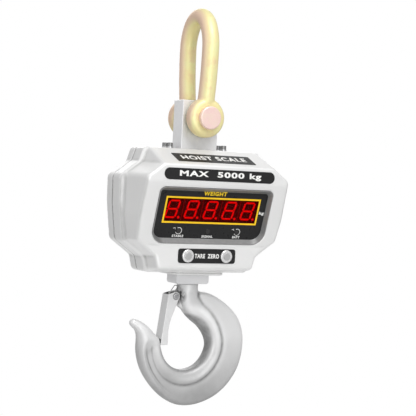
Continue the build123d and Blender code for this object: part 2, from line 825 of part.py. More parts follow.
with BuildPart() as digit_modules:
    with BuildSketch(FACE.offset(-module_depth)):
        with Locations(window_place):
            with GridLocations(digit_pitch, 0, digit_count, 1):
                Rectangle(digit_pitch - 0.4, glass_height + 1)
    extrude(amount=module_depth - board_depth)
pieces["digit_modules"] = digit_modules

digit_height = 28.0
digit_width = 18.6
bar_width = 2.5
bar_gap = 0.5
digit_slant = 0.17
digit_shift = -0.9
point_place = (11.5, -12.4)


def slanted_bar(x0, y0, x1, y1):
    """One pointed segment from end to end, leaning with the digit."""
    run, rise = x1 - x0, y1 - y0
    length = hypot(run, rise)
    ux, uy = run / length, rise / length
    half = bar_width / 2
    corners = []
    for along, across in [
        (bar_gap, 0),
        (half + bar_gap, half),
        (length - half - bar_gap, half),
        (length - bar_gap, 0),
        (length - half - bar_gap, -half),
        (half + bar_gap, -half),
    ]:
        x = x0 + ux * along - uy * across
        y = y0 + uy * along + ux * across
        corners.append((x + digit_slant * y, y))
    with BuildSketch() as bar:
        with BuildLine():
            Polyline(*corners, close=True)
        make_face()
    return bar.sketch


bar_x = (digit_width - bar_width) / 2
bar_y = (digit_height - bar_width) / 2
bars = [
    (-bar_x, bar_y, bar_x, bar_y),
    (-bar_x, 0, bar_x, 0),
    (-bar_x, -bar_y, bar_x, -bar_y),
    (-bar_x, 0, -bar_x, bar_y),
    (bar_x, 0, bar_x, bar_y),
    (-bar_x, -bar_y, -bar_x, 0),
    (bar_x, -bar_y, bar_x, 0),
]
with BuildPart() as digit_segments:
    with BuildSketch(FACE.offset(-module_depth)):
        for index in range(digit_count):
            centre_x = (index - (digit_count - 1) / 2) * digit_pitch + digit_shift
            with Locations((centre_x, window_place[1])):
                for bar in bars:
                    add(slanted_bar(*bar))
            with Locations((centre_x + point_place[0], window_place[1] + point_place[1])):
                Circle(point_r)
    extrude(amount=segment_height)
pieces["digit_segments"] = digit_segments

with BuildPart() as display_board:
    with BuildSketch(FACE.offset(-board_depth)):
        Rectangle(*board_size)
        with GridLocations(2 * spacer_places[0], 2 * spacer_places[1], 2, 2):
            Circle(board_hole_r, mode=Mode.SUBTRACT)
    extrude(amount=-board_thickness)
pieces["display_board"] = display_board

with BuildPart() as board_spacers:
    with BuildSketch(FACE.offset(-spacer_top)):
        with GridLocations(2 * spacer_places[0], 2 * spacer_places[1], 2, 2):
            Circle(spacer_r)
            Circle(board_hole_r, mode=Mode.SUBTRACT)
    extrude(amount=spacer_top - board_depth)
pieces["board_spacers"] = board_spacers

with BuildPart() as board_screws:
    with BuildSketch(FACE.offset(-board_depth - board_thickness)):
        with GridLocations(2 * spacer_places[0], 2 * spacer_places[1], 2, 2):
            Circle(2.8)
    extrude(amount=-1.8)
    with BuildSketch(FACE.offset(-board_depth - board_thickness)):
        with GridLocations(2 * spacer_places[0], 2 * spacer_places[1], 2, 2):
            Circle(board_screw_r)
    extrude(amount=12)
pieces["board_screws"] = board_screws

with BuildPart() as status_lights:
    with BuildSketch(FACE.offset(light_proud - panel_depth)):
        with Locations(*light_places):
            Circle(light_r)
    extrude(amount=panel_depth - light_proud - board_depth)
    fillet(status_lights.faces().filter_by(FACE).sort_by(Axis.Y)[:3].edges(), radius=0.4)
pieces["status_lights"] = status_lights

main_board_depth = 33.0
main_board_place = (0, 9)
post_grid = (108.0, 48.0)
main_board_size = (120.0, 60.0)
with BuildPart() as main_board:
    with BuildSketch(FACE.offset(-main_board_depth)):
        with Locations(main_board_place):
            RectangleRounded(*main_board_size, 2)
    extrude(amount=-board_thickness)
pieces["main_board"] = main_board

with BuildPart() as board_posts:
    with BuildSketch(FACE.offset(-board_depth - board_thickness)):
        with Locations(main_board_place):
            with GridLocations(*post_grid, 2, 2):
                RegularPolygon(3, 6)
    extrude(amount=board_depth + board_thickness - main_board_depth)
pieces["board_posts"] = board_posts

# the lead from the load cell, in the plane x = cable_x, as (y, z) points
cable_x = 12.0
cable_r = 2.0
cable_start_z = -249.0
cable_plug = 8.0  # straight length at either end
board_back = FACE.offset(-main_board_depth - board_thickness)
cable_end = board_back.from_local_coords(Vector(cable_x, 9, 0))
cable_turn = board_back.from_local_coords(Vector(cable_x, 9, -cable_plug))
cable_start_y = -lug_half_depth - cover_plate_thickness
with BuildPart() as cell_cable:
    with BuildLine(Plane.YZ.offset(cable_x)) as cable_line:
        FilletPolyline(
            (cable_start_y, cable_start_z),
            (cable_start_y - cable_plug, cable_start_z),
            (cable_turn.Y, cable_turn.Z),
            (cable_end.Y, cable_end.Z),
            radius=3,
        )
    cable_path = cable_line.wire()
    with BuildSketch(Plane(origin=cable_path @ 0, z_dir=cable_path % 0)):
        Circle(cable_r)
    sweep(path=cable_path)
pieces["cell_cable"] = cell_cable

label_thickness = 0.5
capacity_label_z = -220.8
capacity_label_size = (181.0, 16.7)
title_label_size = (127.5, 28.5)
with BuildPart() as capacity_label:
    with BuildSketch(FRONT.offset(front_depth)):
        with Locations((0, capacity_label_z)):
            SlotOverall(*capacity_label_size)
    extrude(amount=label_thickness)
pieces["capacity_label"] = capacity_label

with BuildPart() as title_label:
    with BuildSketch(ROOF):
        RectangleRounded(*title_label_size, 0.8)
    extrude(amount=label_thickness)
pieces["title_label"] = title_label

# ---------------------------------------------------------------- buttons

plate_thickness = 0.8
button_plate_size = (94.6, 21.0)
nut_thickness = 4.0
ring_r = 9.35
switch_front_y = 44.0
switch_back_y = 30.0
cap_back_y = switch_front_y + 2 * button_travel
ring_height = 2.6
cap_proud = 1.3
ring_face_y = face_bottom[0] + plate_thickness + ring_height
button_places = [(button_x, button_z), (-button_x, button_z)]
with BuildPart() as button_plate:
    with BuildSketch(FRONT.offset(face_bottom[0])):
        with Locations((0, button_z)):
            RectangleRounded(*button_plate_size, 4)
        with Locations(*button_places):
            Circle(ring_barrel_r + 0.1, mode=Mode.SUBTRACT)
    extrude(amount=plate_thickness)
pieces["button_plate"] = button_plate

with BuildPart() as button_rings:
    with BuildSketch(FRONT.offset(switch_front_y)):
        with Locations(*button_places):
            Circle(ring_barrel_r)
    extrude(amount=face_bottom[0] + plate_thickness - switch_front_y)
    with BuildSketch(FRONT.offset(face_bottom[0] + plate_thickness)):
        with Locations(*button_places):
            Circle(ring_r)
    extrude(amount=ring_height)
    fillet(button_rings.edges().group_by(Axis.Y)[0], radius=1.4)
    with BuildSketch(FRONT.offset(switch_front_y)):
        with Locations(*button_places):
            Circle(button_cap_r + running_gap)
    extrude(amount=through, mode=Mode.SUBTRACT)
pieces["button_rings"] = button_rings

with BuildPart() as button_nuts:
    with BuildSketch(FRONT.offset(face_bottom[0] - wall)):
        with Locations(*button_places):
            RegularPolygon(10.5, 6)
            Circle(ring_barrel_r, mode=Mode.SUBTRACT)
    extrude(amount=-nut_thickness)
pieces["button_nuts"] = button_nuts

with BuildPart() as button_switches:
    with BuildSketch(FRONT.offset(switch_front_y)):
        with Locations(*button_places):
            Circle(6.4)
    extrude(amount=switch_back_y - switch_front_y)
    with BuildSketch(FRONT.offset(switch_back_y)):
        with Locations(*button_places):
            with GridLocations(5, 0, 2, 1):
                Rectangle(0.8, 3)
    extrude(amount=-3.5)
pieces["button_switches"] = button_switches

for name, place in (("tare_button", button_places[1]), ("zero_button", button_places[0])):
    with BuildPart() as button_cap:
        with BuildSketch(FRONT.offset(cap_back_y)):
            with Locations(place):
                Circle(button_cap_r)
        extrude(amount=ring_face_y + cap_proud - cap_back_y)
        fillet(button_cap.edges().group_by(Axis.Y)[0], radius=0.7)
    pieces[name] = button_cap

# ---------------------------------------------------------------- battery and its door

battery_middle_z = (battery_hole[1] + battery_hole[2]) / 2
battery_hole_width = 2 * battery_hole[0]
battery_hole_height = battery_hole[2] - battery_hole[1]
tray_floor_y = 26.5
battery_front_y = 28.0
battery_size = (101.0, 70.0)
battery_thickness = 47.0
seal_thickness = 0.3
with BuildPart() as battery_tray:
    with BuildSketch(BACK.offset(tray_floor_y)):
        with Locations((0, battery_middle_z)):
            Rectangle(battery_hole_width - 1, battery_hole_height + 2)
    extrude(amount=rear_depth - wall - tray_floor_y)
    with BuildSketch(BACK.offset(battery_front_y)):
        with Locations((0, battery_middle_z)):
            Rectangle(battery_hole_width - 4, battery_hole_height - 1)
    extrude(amount=rear_depth, mode=Mode.SUBTRACT)
pieces["battery_tray"] = battery_tray

with BuildPart() as battery:
    with BuildSketch(BACK.offset(battery_front_y)):
        with Locations((0, battery_middle_z)):
            RectangleRounded(*battery_size, 1.5)
    extrude(amount=battery_thickness)
pieces["battery"] = battery

with BuildPart() as door_seal:
    with BuildSketch(BACK.offset(rear_depth)):
        with Locations((0, battery_middle_z)):
            RectangleRounded(battery_hole_width + 5, battery_hole_height + 4.5, 4)
            RectangleRounded(battery_hole_width + 0.5, battery_hole_height + 0.5, 3, mode=Mode.SUBTRACT)
    extrude(amount=seal_thickness)
pieces["door_seal"] = door_seal

with BuildPart() as battery_door:
    with BuildSketch(BACK.offset(door_back_y)):
        with Locations((0, (door_top_z + door_bottom_z) / 2)):
            RectangleRounded(2 * door_half_width, door_top_z - door_bottom_z, 6)
    extrude(amount=door_thickness)
    fillet(battery_door.faces().sort_by(Axis.Y)[-1].edges(), radius=1)
    with BuildSketch(Plane.YZ):
        with Locations((hinge_y, hinge_z)):
            Circle(knuckle_r)
        with Locations((hinge_y - 1.5, hinge_z - 3)):
            Rectangle(3, 8)
        with Locations((hinge_y, hinge_z)):
            Circle(hinge_pin_r + running_gap, mode=Mode.SUBTRACT)
    extrude(amount=door_knuckle_gap - 0.5, both=True)
    with BuildSketch(BACK.offset(door_back_y)):
        with Locations((0, thumb_screw_z)):
            Circle(2.5 + running_gap)
    extrude(amount=2 * door_thickness, mode=Mode.SUBTRACT)
pieces["battery_door"] = battery_door

with BuildPart() as door_hinge_pin:
    with BuildSketch(Plane.YZ):
        with Locations((hinge_y, hinge_z)):
            Circle(hinge_pin_r)
    extrude(amount=hinge_half_length + 1, both=True)
pieces["door_hinge_pin"] = door_hinge_pin

grip_count = 24
thumb_head_r = 8.0
thumb_head_height = 6.0
thumb_stem_r = 2.5
thumb_stem_length = 8.5
thumb_head_y = door_back_y + door_thickness + 0.3
with BuildPart() as thumb_screw:
    with BuildSketch(BACK.offset(thumb_head_y)):
        with Locations((0, thumb_screw_z)):
            Circle(thumb_head_r)
            with PolarLocations(thumb_head_r + 0.3, grip_count):
                Circle(0.7, mode=Mode.SUBTRACT)
    extrude(amount=thumb_head_height)
    with BuildSketch(BACK.offset(thumb_head_y)):
        with Locations((0, thumb_screw_z)):
            Circle(thumb_stem_r)
    extrude(amount=-thumb_stem_length)
pieces["thumb_screw"] = thumb_screw

socket_flange_r = 9.0
socket_barrel_r = 6.0
socket_bore_r = 2.9
socket_flange = 1.5
socket_length = 12.0
cap_r = 8.2
cap_plug_r = 2.8
cap_plug_length = 6.0
with BuildPart() as charge_socket:
    with BuildSketch(BACK.offset(rear_depth)):
        with Locations(socket_place):
            Circle(socket_flange_r)
            Circle(socket_bore_r, mode=Mode.SUBTRACT)
    extrude(amount=socket_flange)
    with BuildSketch(BACK.offset(rear_depth)):
        with Locations(socket_place):
            Circle(socket_barrel_r)
            Circle(socket_bore_r, mode=Mode.SUBTRACT)
    extrude(amount=-socket_length)
pieces["charge_socket"] = charge_socket

with BuildPart() as socket_cap:
    with BuildSketch(BACK.offset(rear_depth + socket_flange)):
        with Locations(socket_place):
            Circle(cap_r)
        with Locations((socket_place[0], socket_place[1] + 10)):
            Rectangle(5, 6)
    extrude(amount=3)
    with BuildSketch(BACK.offset(rear_depth + socket_flange)):
        with Locations(socket_place):
            Circle(cap_plug_r)
    extrude(amount=-cap_plug_length)
pieces["socket_cap"] = socket_cap

# ---------------------------------------------------------------- hook and its bearing

ball_r = 3.5
ball_circle_r = 18.2
ball_count = 12
ball_z = -330.0
groove_gap = 0.1
race_outer_r = 21.8
race_face = 2.2  # from the balls' plane to either race
upper_race_top_z = -322.0
nut_r = 21.0
nut_height = 24.0
lock_pin_z = -304.0
lock_pin_r = 2.5
shank_top_z = block_bottom_z - 1.0


def race(low_z, high_z, bore_r):
    """A grooved bearing washer."""
    with BuildPart() as ring:
        with BuildSketch(Plane.XY.offset(low_z)):
            Circle(race_outer_r)
            Circle(bore_r, mode=Mode.SUBTRACT)
        extrude(amount=high_z - low_z)
        with Locations((0, 0, ball_z)):
            Torus(ball_circle_r, ball_r + groove_gap, mode=Mode.SUBTRACT)
    return ring


pieces["bearing_lower_race"] = race(window_floor_z, ball_z - race_face, stem_r + 0.4)
pieces["bearing_upper_race"] = race(ball_z + race_face, upper_race_top_z, stem_r + 0.05)

with BuildPart() as bearing_cage:
    with BuildSketch(Plane.XY.offset(ball_z)):
        Circle(race_outer_r - 0.3)
        Circle(stem_r + 0.4, mode=Mode.SUBTRACT)
        with PolarLocations(ball_circle_r, ball_count):
            Circle(ball_r + 0.05, mode=Mode.SUBTRACT)
    extrude(amount=1, both=True)
pieces["bearing_cage"] = bearing_cage

with BuildPart() as bearing_balls:
    with Locations((0, 0, ball_z)):
        with PolarLocations(ball_circle_r, ball_count):
            Sphere(ball_r)
pieces["bearing_balls"] = bearing_balls

with BuildPart() as hook_nut:
    with BuildSketch(Plane.XY.offset(upper_race_top_z)):
        Circle(nut_r)
        Circle(thread_r, mode=Mode.SUBTRACT)
        with PolarLocations(nut_r, 4, start_angle=45):
            Rectangle(6, 6, mode=Mode.SUBTRACT)
    extrude(amount=nut_height)
    with BuildSketch(Plane.YZ):
        with Locations((0, lock_pin_z)):
            Circle(lock_pin_r)
    extrude(amount=nut_r, both=True, mode=Mode.SUBTRACT)
pieces["hook_nut"] = hook_nut

with BuildPart() as nut_lock_pin:
    with BuildSketch(Plane.YZ):
        with Locations((0, lock_pin_z)):
            Circle(lock_pin_r)
    extrude(amount=nut_r - 0.5, both=True)
pieces["nut_lock_pin"] = nut_lock_pin

# the bead's centreline leaves the shank, bends by bead_turn and joins the circle round the bowl
bead_circle_r = bowl_r + bead_r
bead_bend_r = 20.0
bead_bend_z = -398.0
neck_z = -394.5  # where the hook's back leaves the shank
limb_join_angle = 4.0  # degrees above level, at which the limb's inner edge leaves the bowl
throat_join_angle = 15.0
throat_points = [(28.0, -451.5), (17.0, -442.5), (-2.0, -425.5), (-14.0, -404.0)]
bead_drop = bead_bend_z - bowl_z
bead_reach = hypot(bead_bend_r - bowl_x, bead_drop)
bead_phase = degrees(atan2(bead_drop, bead_bend_r - bowl_x))
bead_cosine = (bead_circle_r + bead_bend_r) / bead_reach
bead_turn = bead_phase - degrees(atan2((1 - bead_cosine**2) ** 0.5, bead_cosine))
bend_end = (
    bead_bend_r * (1 - cos(radians(bead_turn))),
    bead_bend_z - bead_bend_r * sin(radians(bead_turn)),
)
bead_join = (
    bowl_x + bead_circle_r * cos(radians(bead_turn)),
    bowl_z + bead_circle_r * sin(radians(bead_turn)),
)
limb_angle = 175.0
tip_centre = (-87.0, -441.0)
tip_r = 5.8

# the hook's back, from the shank round to the point and down its inner side, as (x, z)
back_points = [
    (14, neck_z),
    (57, -408.5),
    (85, -431),
    (99, -474),
    (91, -513),
    (62, -547.5),
    (6, -566.5),
    (-44, -545),
    (-69, -515),
    (-79.5, -480),
    (-82, -457),
    (-91.5, -445),
    (-86, -435),
    (-63, -447.5),
    (-45.5, -465.5),
]
rim_radius = 5.0
shank_length = 18.0
ear_r = 7.5
ear_half_thickness = 5.0

with BuildPart() as hook:
    with BuildSketch(FRONT):
        with BuildLine():
            Spline(*back_points)
            limb_join = (
                bowl_x - bowl_r * cos(radians(limb_join_angle)),
                bowl_z + bowl_r * sin(radians(limb_join_angle)),
            )
            throat_join = (
                bowl_x + bowl_r * cos(radians(throat_join_angle)),
                bowl_z + bowl_r * sin(radians(throat_join_angle)),
            )
            Line(back_points[-1], limb_join)
            bowl_start = 180 - limb_join_angle
            CenterArc((bowl_x, bowl_z), bowl_r, bowl_start, 360 + throat_join_angle - bowl_start)
            ThreePointArc(throat_join, throat_points[0], throat_points[1])
            ThreePointArc(throat_points[1], throat_points[2], throat_points[3])
            Line(throat_points[3], (throat_points[3][0], neck_z))
            Line((throat_points[3][0], neck_z), back_points[0])
        make_face()
    extrude(amount=web_half_thickness, both=True)
    web_edges = hook.edges().filter_by(lambda edge: abs(abs(edge.center().Y) - web_half_thickness) < 0.01)
    fillet(web_edges, radius=rim_radius)
    with BuildLine(FRONT) as bead_line:
        Line((0, shank_top_z), (0, bead_bend_z))
        CenterArc((bead_bend_r, bead_bend_z), bead_bend_r, 180, bead_turn)
        Line(bend_end, bead_join)
        CenterArc((bowl_x, bowl_z), bead_circle_r, bead_turn, -bead_turn - limb_angle)
    bead_path = bead_line.wire()
    with BuildSketch(Plane(origin=bead_path @ 0, z_dir=bead_path % 0)):
        Circle(bead_r)
    sweep(path=bead_path)
    with BuildSketch(Plane.XY.offset(shank_top_z)):
        Circle(shank_r)
    extrude(amount=-shank_length)
    with BuildSketch(Plane.XY.offset(shank_top_z)):
        Circle(stem_r)
    extrude(amount=upper_race_top_z - shank_top_z)
    with BuildSketch(Plane.XY.offset(upper_race_top_z)):
        Circle(thread_r)
    extrude(amount=nut_height + 4)
    with BuildSketch(Plane.YZ):
        with Locations((0, lock_pin_z)):
            Circle(lock_pin_r)
    extrude(amount=nut_r, both=True, mode=Mode.SUBTRACT)
    limb_end = Vector(bead_path @ 1)
    tip_point = Vector(tip_centre[0], 0, tip_centre[1])
    with BuildSketch(Plane(origin=limb_end, z_dir=tip_point - limb_end)):
        Circle(bead_r)
    with BuildSketch(Plane(origin=tip_point, z_dir=tip_point - limb_end)):
        Circle(tip_r)
    loft()
    with Locations(limb_end):
        Sphere(bead_r)
    with Locations(tip_point):
        Sphere(tip_r)
    with BuildSketch(FRONT):
        with Locations(latch_pivot):
            Circle(ear_r)
        with BuildLine():
            Polyline(
                (latch_pivot[0] + 1, latch_pivot[1] + 7.4),
                (-8, -392),
                (-8, -421),
                (latch_pivot[0] - 5, latch_pivot[1] - 5.5),
                close=True,
            )
        make_face()
    extrude(amount=ear_half_thickness, both=True)
    with BuildSketch(FRONT):
        with Locations(latch_pivot):
            Circle(rivet_r)
    extrude(amount=through, both=True, mode=Mode.SUBTRACT)
pieces["hook"] = hook

# ---------------------------------------------------------------- latch

web_top = (-35.8, -398.8)
web_foot = (-45.3, -473.8)
web_end_z = -465.6
latch_eye_r = 6.5
with BuildPart() as latch:
    with BuildSketch(FRONT):
        with BuildLine():
            Polyline(
                web_top,
                (latch_pivot[0] - 2, latch_pivot[1] + 6.2),
                (latch_pivot[0] + 6.2, latch_pivot[1] - 1),
                (-31.5, -440),
                (-33.3, -452),
                (-33.3, web_foot[1]),
                web_foot,
                close=True,
            )
        make_face()
        with Locations(latch_pivot):
            Circle(latch_eye_r)
    extrude(amount=latch_half_width, both=True)
    with BuildSketch(FRONT):
        with BuildLine():
            Polyline(
                (web_top[0] + latch_sheet, web_top[1] + 10),
                (web_foot[0] + latch_sheet, web_foot[1] - 1),
                (0, web_foot[1] - 1),
                (0, web_top[1] + 10),
                close=True,
            )
        make_face()
    extrude(amount=latch_half_width - latch_sheet, both=True, mode=Mode.SUBTRACT)
    with BuildSketch(FRONT):
        with Locations((web_foot[0], web_end_z - 10)):
            Rectangle(12, 20)
    extrude(amount=latch_half_width - latch_sheet, both=True, mode=Mode.SUBTRACT)
    with BuildSketch(FRONT):
        with Locations(latch_pivot):
            Circle(rivet_r + running_gap)
    extrude(amount=through, both=True, mode=Mode.SUBTRACT)
pieces["latch"] = latch

rivet_head_gap = 0.3
rivet_head_r = 4.3
rivet_head_height = 1.4
with BuildPart() as latch_rivet:
    with BuildSketch(FRONT):
        with Locations(latch_pivot):
            Circle(rivet_r)
    extrude(amount=latch_half_width + rivet_head_gap, both=True)
    for face_plane, mirror_sign in ((FRONT, 1), (BACK, -1)):
        with BuildSketch(face_plane.offset(latch_half_width + rivet_head_gap)):
            with Locations((mirror_sign * latch_pivot[0], latch_pivot[1])):
                Circle(rivet_head_r)
        extrude(amount=rivet_head_height)
    fillet(latch_rivet.edges().group_by(Axis.Y)[0] + latch_rivet.edges().group_by(Axis.Y)[-1], radius=1)
pieces["latch_rivet"] = latch_rivet

coil_y = 6.7
coil_half = 1.3
wire_r = 0.7
coil_r = 5.6
bridge_x = latch_pivot[0] + 5.4
bridge_z = latch_pivot[1] + 15.5
with BuildPart() as latch_spring:
    for side in (1, -1):
        with BuildSketch(FRONT.offset(side * coil_y)):
            with Locations(latch_pivot):
                Circle(coil_r)
                Circle(rivet_r + 0.3, mode=Mode.SUBTRACT)
        extrude(amount=coil_half, both=True)
        with BuildLine() as closing_leg:
            Line(
                (latch_pivot[0] - 4.8, side * coil_y, latch_pivot[1]),
                (latch_pivot[0] - 12, side * coil_y, latch_pivot[1] - 26),
            )
        with BuildSketch(Plane(origin=closing_leg.line @ 0, z_dir=closing_leg.line % 0)):
            Circle(wire_r)
        sweep(path=closing_leg.line)
        with BuildLine() as holding_leg:
            Line(
                (latch_pivot[0] - 3, side * coil_y, latch_pivot[1] + 3.5),
                (bridge_x, side * coil_y, bridge_z),
            )
        with BuildSketch(Plane(origin=holding_leg.line @ 0, z_dir=holding_leg.line % 0)):
            Circle(wire_r)
        sweep(path=holding_leg.line)
    with BuildSketch(FRONT):
        with Locations((bridge_x, bridge_z)):
            Circle(wire_r)
    extrude(amount=coil_y, both=True)
pieces["latch_spring"] = latch_spring

# ---------------------------------------------------------------- export

for name, piece in pieces.items():
    piece.part.label = name
    export_step(piece.part, f"parts/{name}.step")
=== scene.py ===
"""Looks of the crane scale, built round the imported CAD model. Lengths are in metres."""
import json
from math import acos, atan2, cos, hypot, pi, radians, sin, tau

import bmesh
import bpy
import numpy as np
from mathutils import Matrix, Vector


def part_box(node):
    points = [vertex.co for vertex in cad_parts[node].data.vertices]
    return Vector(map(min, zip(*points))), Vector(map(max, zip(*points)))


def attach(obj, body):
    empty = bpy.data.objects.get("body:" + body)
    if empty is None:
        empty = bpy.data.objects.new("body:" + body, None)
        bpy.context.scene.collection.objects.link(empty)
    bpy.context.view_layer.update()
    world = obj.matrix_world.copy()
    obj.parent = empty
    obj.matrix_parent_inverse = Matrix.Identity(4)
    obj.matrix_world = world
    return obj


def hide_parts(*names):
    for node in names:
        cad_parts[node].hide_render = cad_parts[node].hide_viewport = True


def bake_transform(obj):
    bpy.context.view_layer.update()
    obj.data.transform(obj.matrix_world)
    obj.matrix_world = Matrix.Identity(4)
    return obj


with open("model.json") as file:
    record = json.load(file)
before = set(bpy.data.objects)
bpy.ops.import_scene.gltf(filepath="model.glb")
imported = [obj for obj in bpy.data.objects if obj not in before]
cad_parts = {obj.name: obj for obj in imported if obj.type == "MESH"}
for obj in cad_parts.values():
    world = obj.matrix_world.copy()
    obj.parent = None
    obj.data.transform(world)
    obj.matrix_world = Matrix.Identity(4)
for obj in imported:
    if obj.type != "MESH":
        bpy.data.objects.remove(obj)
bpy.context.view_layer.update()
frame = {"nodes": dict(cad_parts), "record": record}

nodes = frame["nodes"]
slot_of = {entry["node"]: entry["material_slot"] for entry in frame["record"]["subparts"]}
scene = bpy.context.scene
MM = 0.001

# ---------------------------------------------------------------- camera and studio

CAMERA_PLACE = (-0.9673, -1.7961, -0.2175)
YAW = 29.0  # degrees to the right of straight back
PITCH = -1.468
ROLL = 2.879
LENS = 118.735
SENSOR = 36.0
FLOOR_RADIUS = 3
FLOOR_LEVEL = -1.2


def add_camera():
    yaw, pitch, roll = radians(YAW), radians(PITCH), radians(ROLL)
    forward = Vector((sin(yaw) * cos(pitch), cos(yaw) * cos(pitch), sin(pitch)))
    level_right = Vector((cos(yaw), -sin(yaw), 0))
    level_up = level_right.cross(forward)
    right = cos(roll) * level_right + sin(roll) * level_up
    up = cos(roll) * level_up - sin(roll) * level_right
    data = bpy.data.cameras.new("camera")
    data.lens = LENS
    data.sensor_width = SENSOR
    data.clip_end = 100
    camera = bpy.data.objects.new("camera", data)
    turn = Matrix((right, up, -forward)).transposed().to_4x4()
    camera.matrix_world = Matrix.Translation(CAMERA_PLACE) @ turn
    scene.collection.objects.link(camera)
    scene.camera = camera


def add_softbox(name, place, aim, width, height, power, gloss=1.0):
    data = bpy.data.lights.new(name, "AREA")
    data.shape = "RECTANGLE"
    data.size, data.size_y = width, height
    data.energy = power
    data.specular_factor = gloss
    lamp = bpy.data.objects.new(name, data)
    lamp.location = place
    lamp.rotation_euler = (Vector(aim) - Vector(place)).to_track_quat("-Z", "Y").to_euler()
    scene.collection.objects.link(lamp)


def add_world():
    """Light from all round, dimmer below; the camera itself sees plain white behind the part."""
    world = bpy.data.worlds.new("studio")
    scene.world = world
    world.use_nodes = True
    tree = world.node_tree
    background = tree.nodes["Background"]
    coords = tree.nodes.new("ShaderNodeTexCoord")
    split = tree.nodes.new("ShaderNodeSeparateXYZ")
    ramp = tree.nodes.new("ShaderNodeValToRGB")
    shift = tree.nodes.new("ShaderNodeMapRange")
    seen = tree.nodes.new("ShaderNodeLightPath")
    white = tree.nodes.new("ShaderNodeBackground")
    mix = tree.nodes.new("ShaderNodeMixShader")
    shift.inputs["From Min"].default_value = -1
    ramp.color_ramp.elements[0].color = (0.58, 0.58, 0.59, 1)
    ramp.color_ramp.elements[1].color = (1.0, 1.0, 1.0, 1)
    tree.links.new(coords.outputs["Generated"], split.inputs[0])
    tree.links.new(split.outputs["Z"], shift.inputs["Value"])
    tree.links.new(shift.outputs[0], ramp.inputs[0])
    tree.links.new(ramp.outputs[0], background.inputs["Color"])
    tree.links.new(seen.outputs["Is Camera Ray"], mix.inputs[0])
    tree.links.new(background.outputs[0], mix.inputs[1])
    tree.links.new(white.outputs[0], mix.inputs[2])
    tree.links.new(mix.outputs[0], tree.nodes["World Output"].inputs["Surface"])
    background.inputs["Strength"].default_value = 0.62
    white.inputs["Color"].default_value = (1, 1, 1, 1)
    white.inputs["Strength"].default_value = 1.0


def add_floor():
    bpy.ops.mesh.primitive_circle_add(
        vertices=96, radius=FLOOR_RADIUS, fill_type="NGON", location=(0, 0, FLOOR_LEVEL)
    )
    floor = bpy.context.object
    floor.name = "floor"
    floor.data.materials.append(plain("floor_pale", grey(0.62), 0.9))


# ---------------------------------------------------------------- materials

rivet_low, rivet_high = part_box("latch_rivet")
pivot = (rivet_low + rivet_high) / 2 / MM  # the latch turns about a line through it

BOWL = (-3, -472)  # middle of the hook's bowl, x and z in millimetres
STEP_START, STEP_END = 110, 119  # x of the step between a cover's front and its side


def shade(colour, share):
    """The colour made darker, or lighter as far as white."""
    return tuple(min(c * share, 1) for c in colour)


def grey(level):
    return (level, level, level)


def plain(name, colour, roughness, metallic=0.0):
    """A material with its shader only; the functions below add the detail."""
    material = bpy.data.materials.new(name)
    material.use_nodes = True
    shader = material.node_tree.nodes["Principled BSDF"]
    shader.inputs["Base Color"].default_value = (*colour, 1)
    shader.inputs["Roughness"].default_value = roughness
    shader.inputs["Metallic"].default_value = metallic
    return material


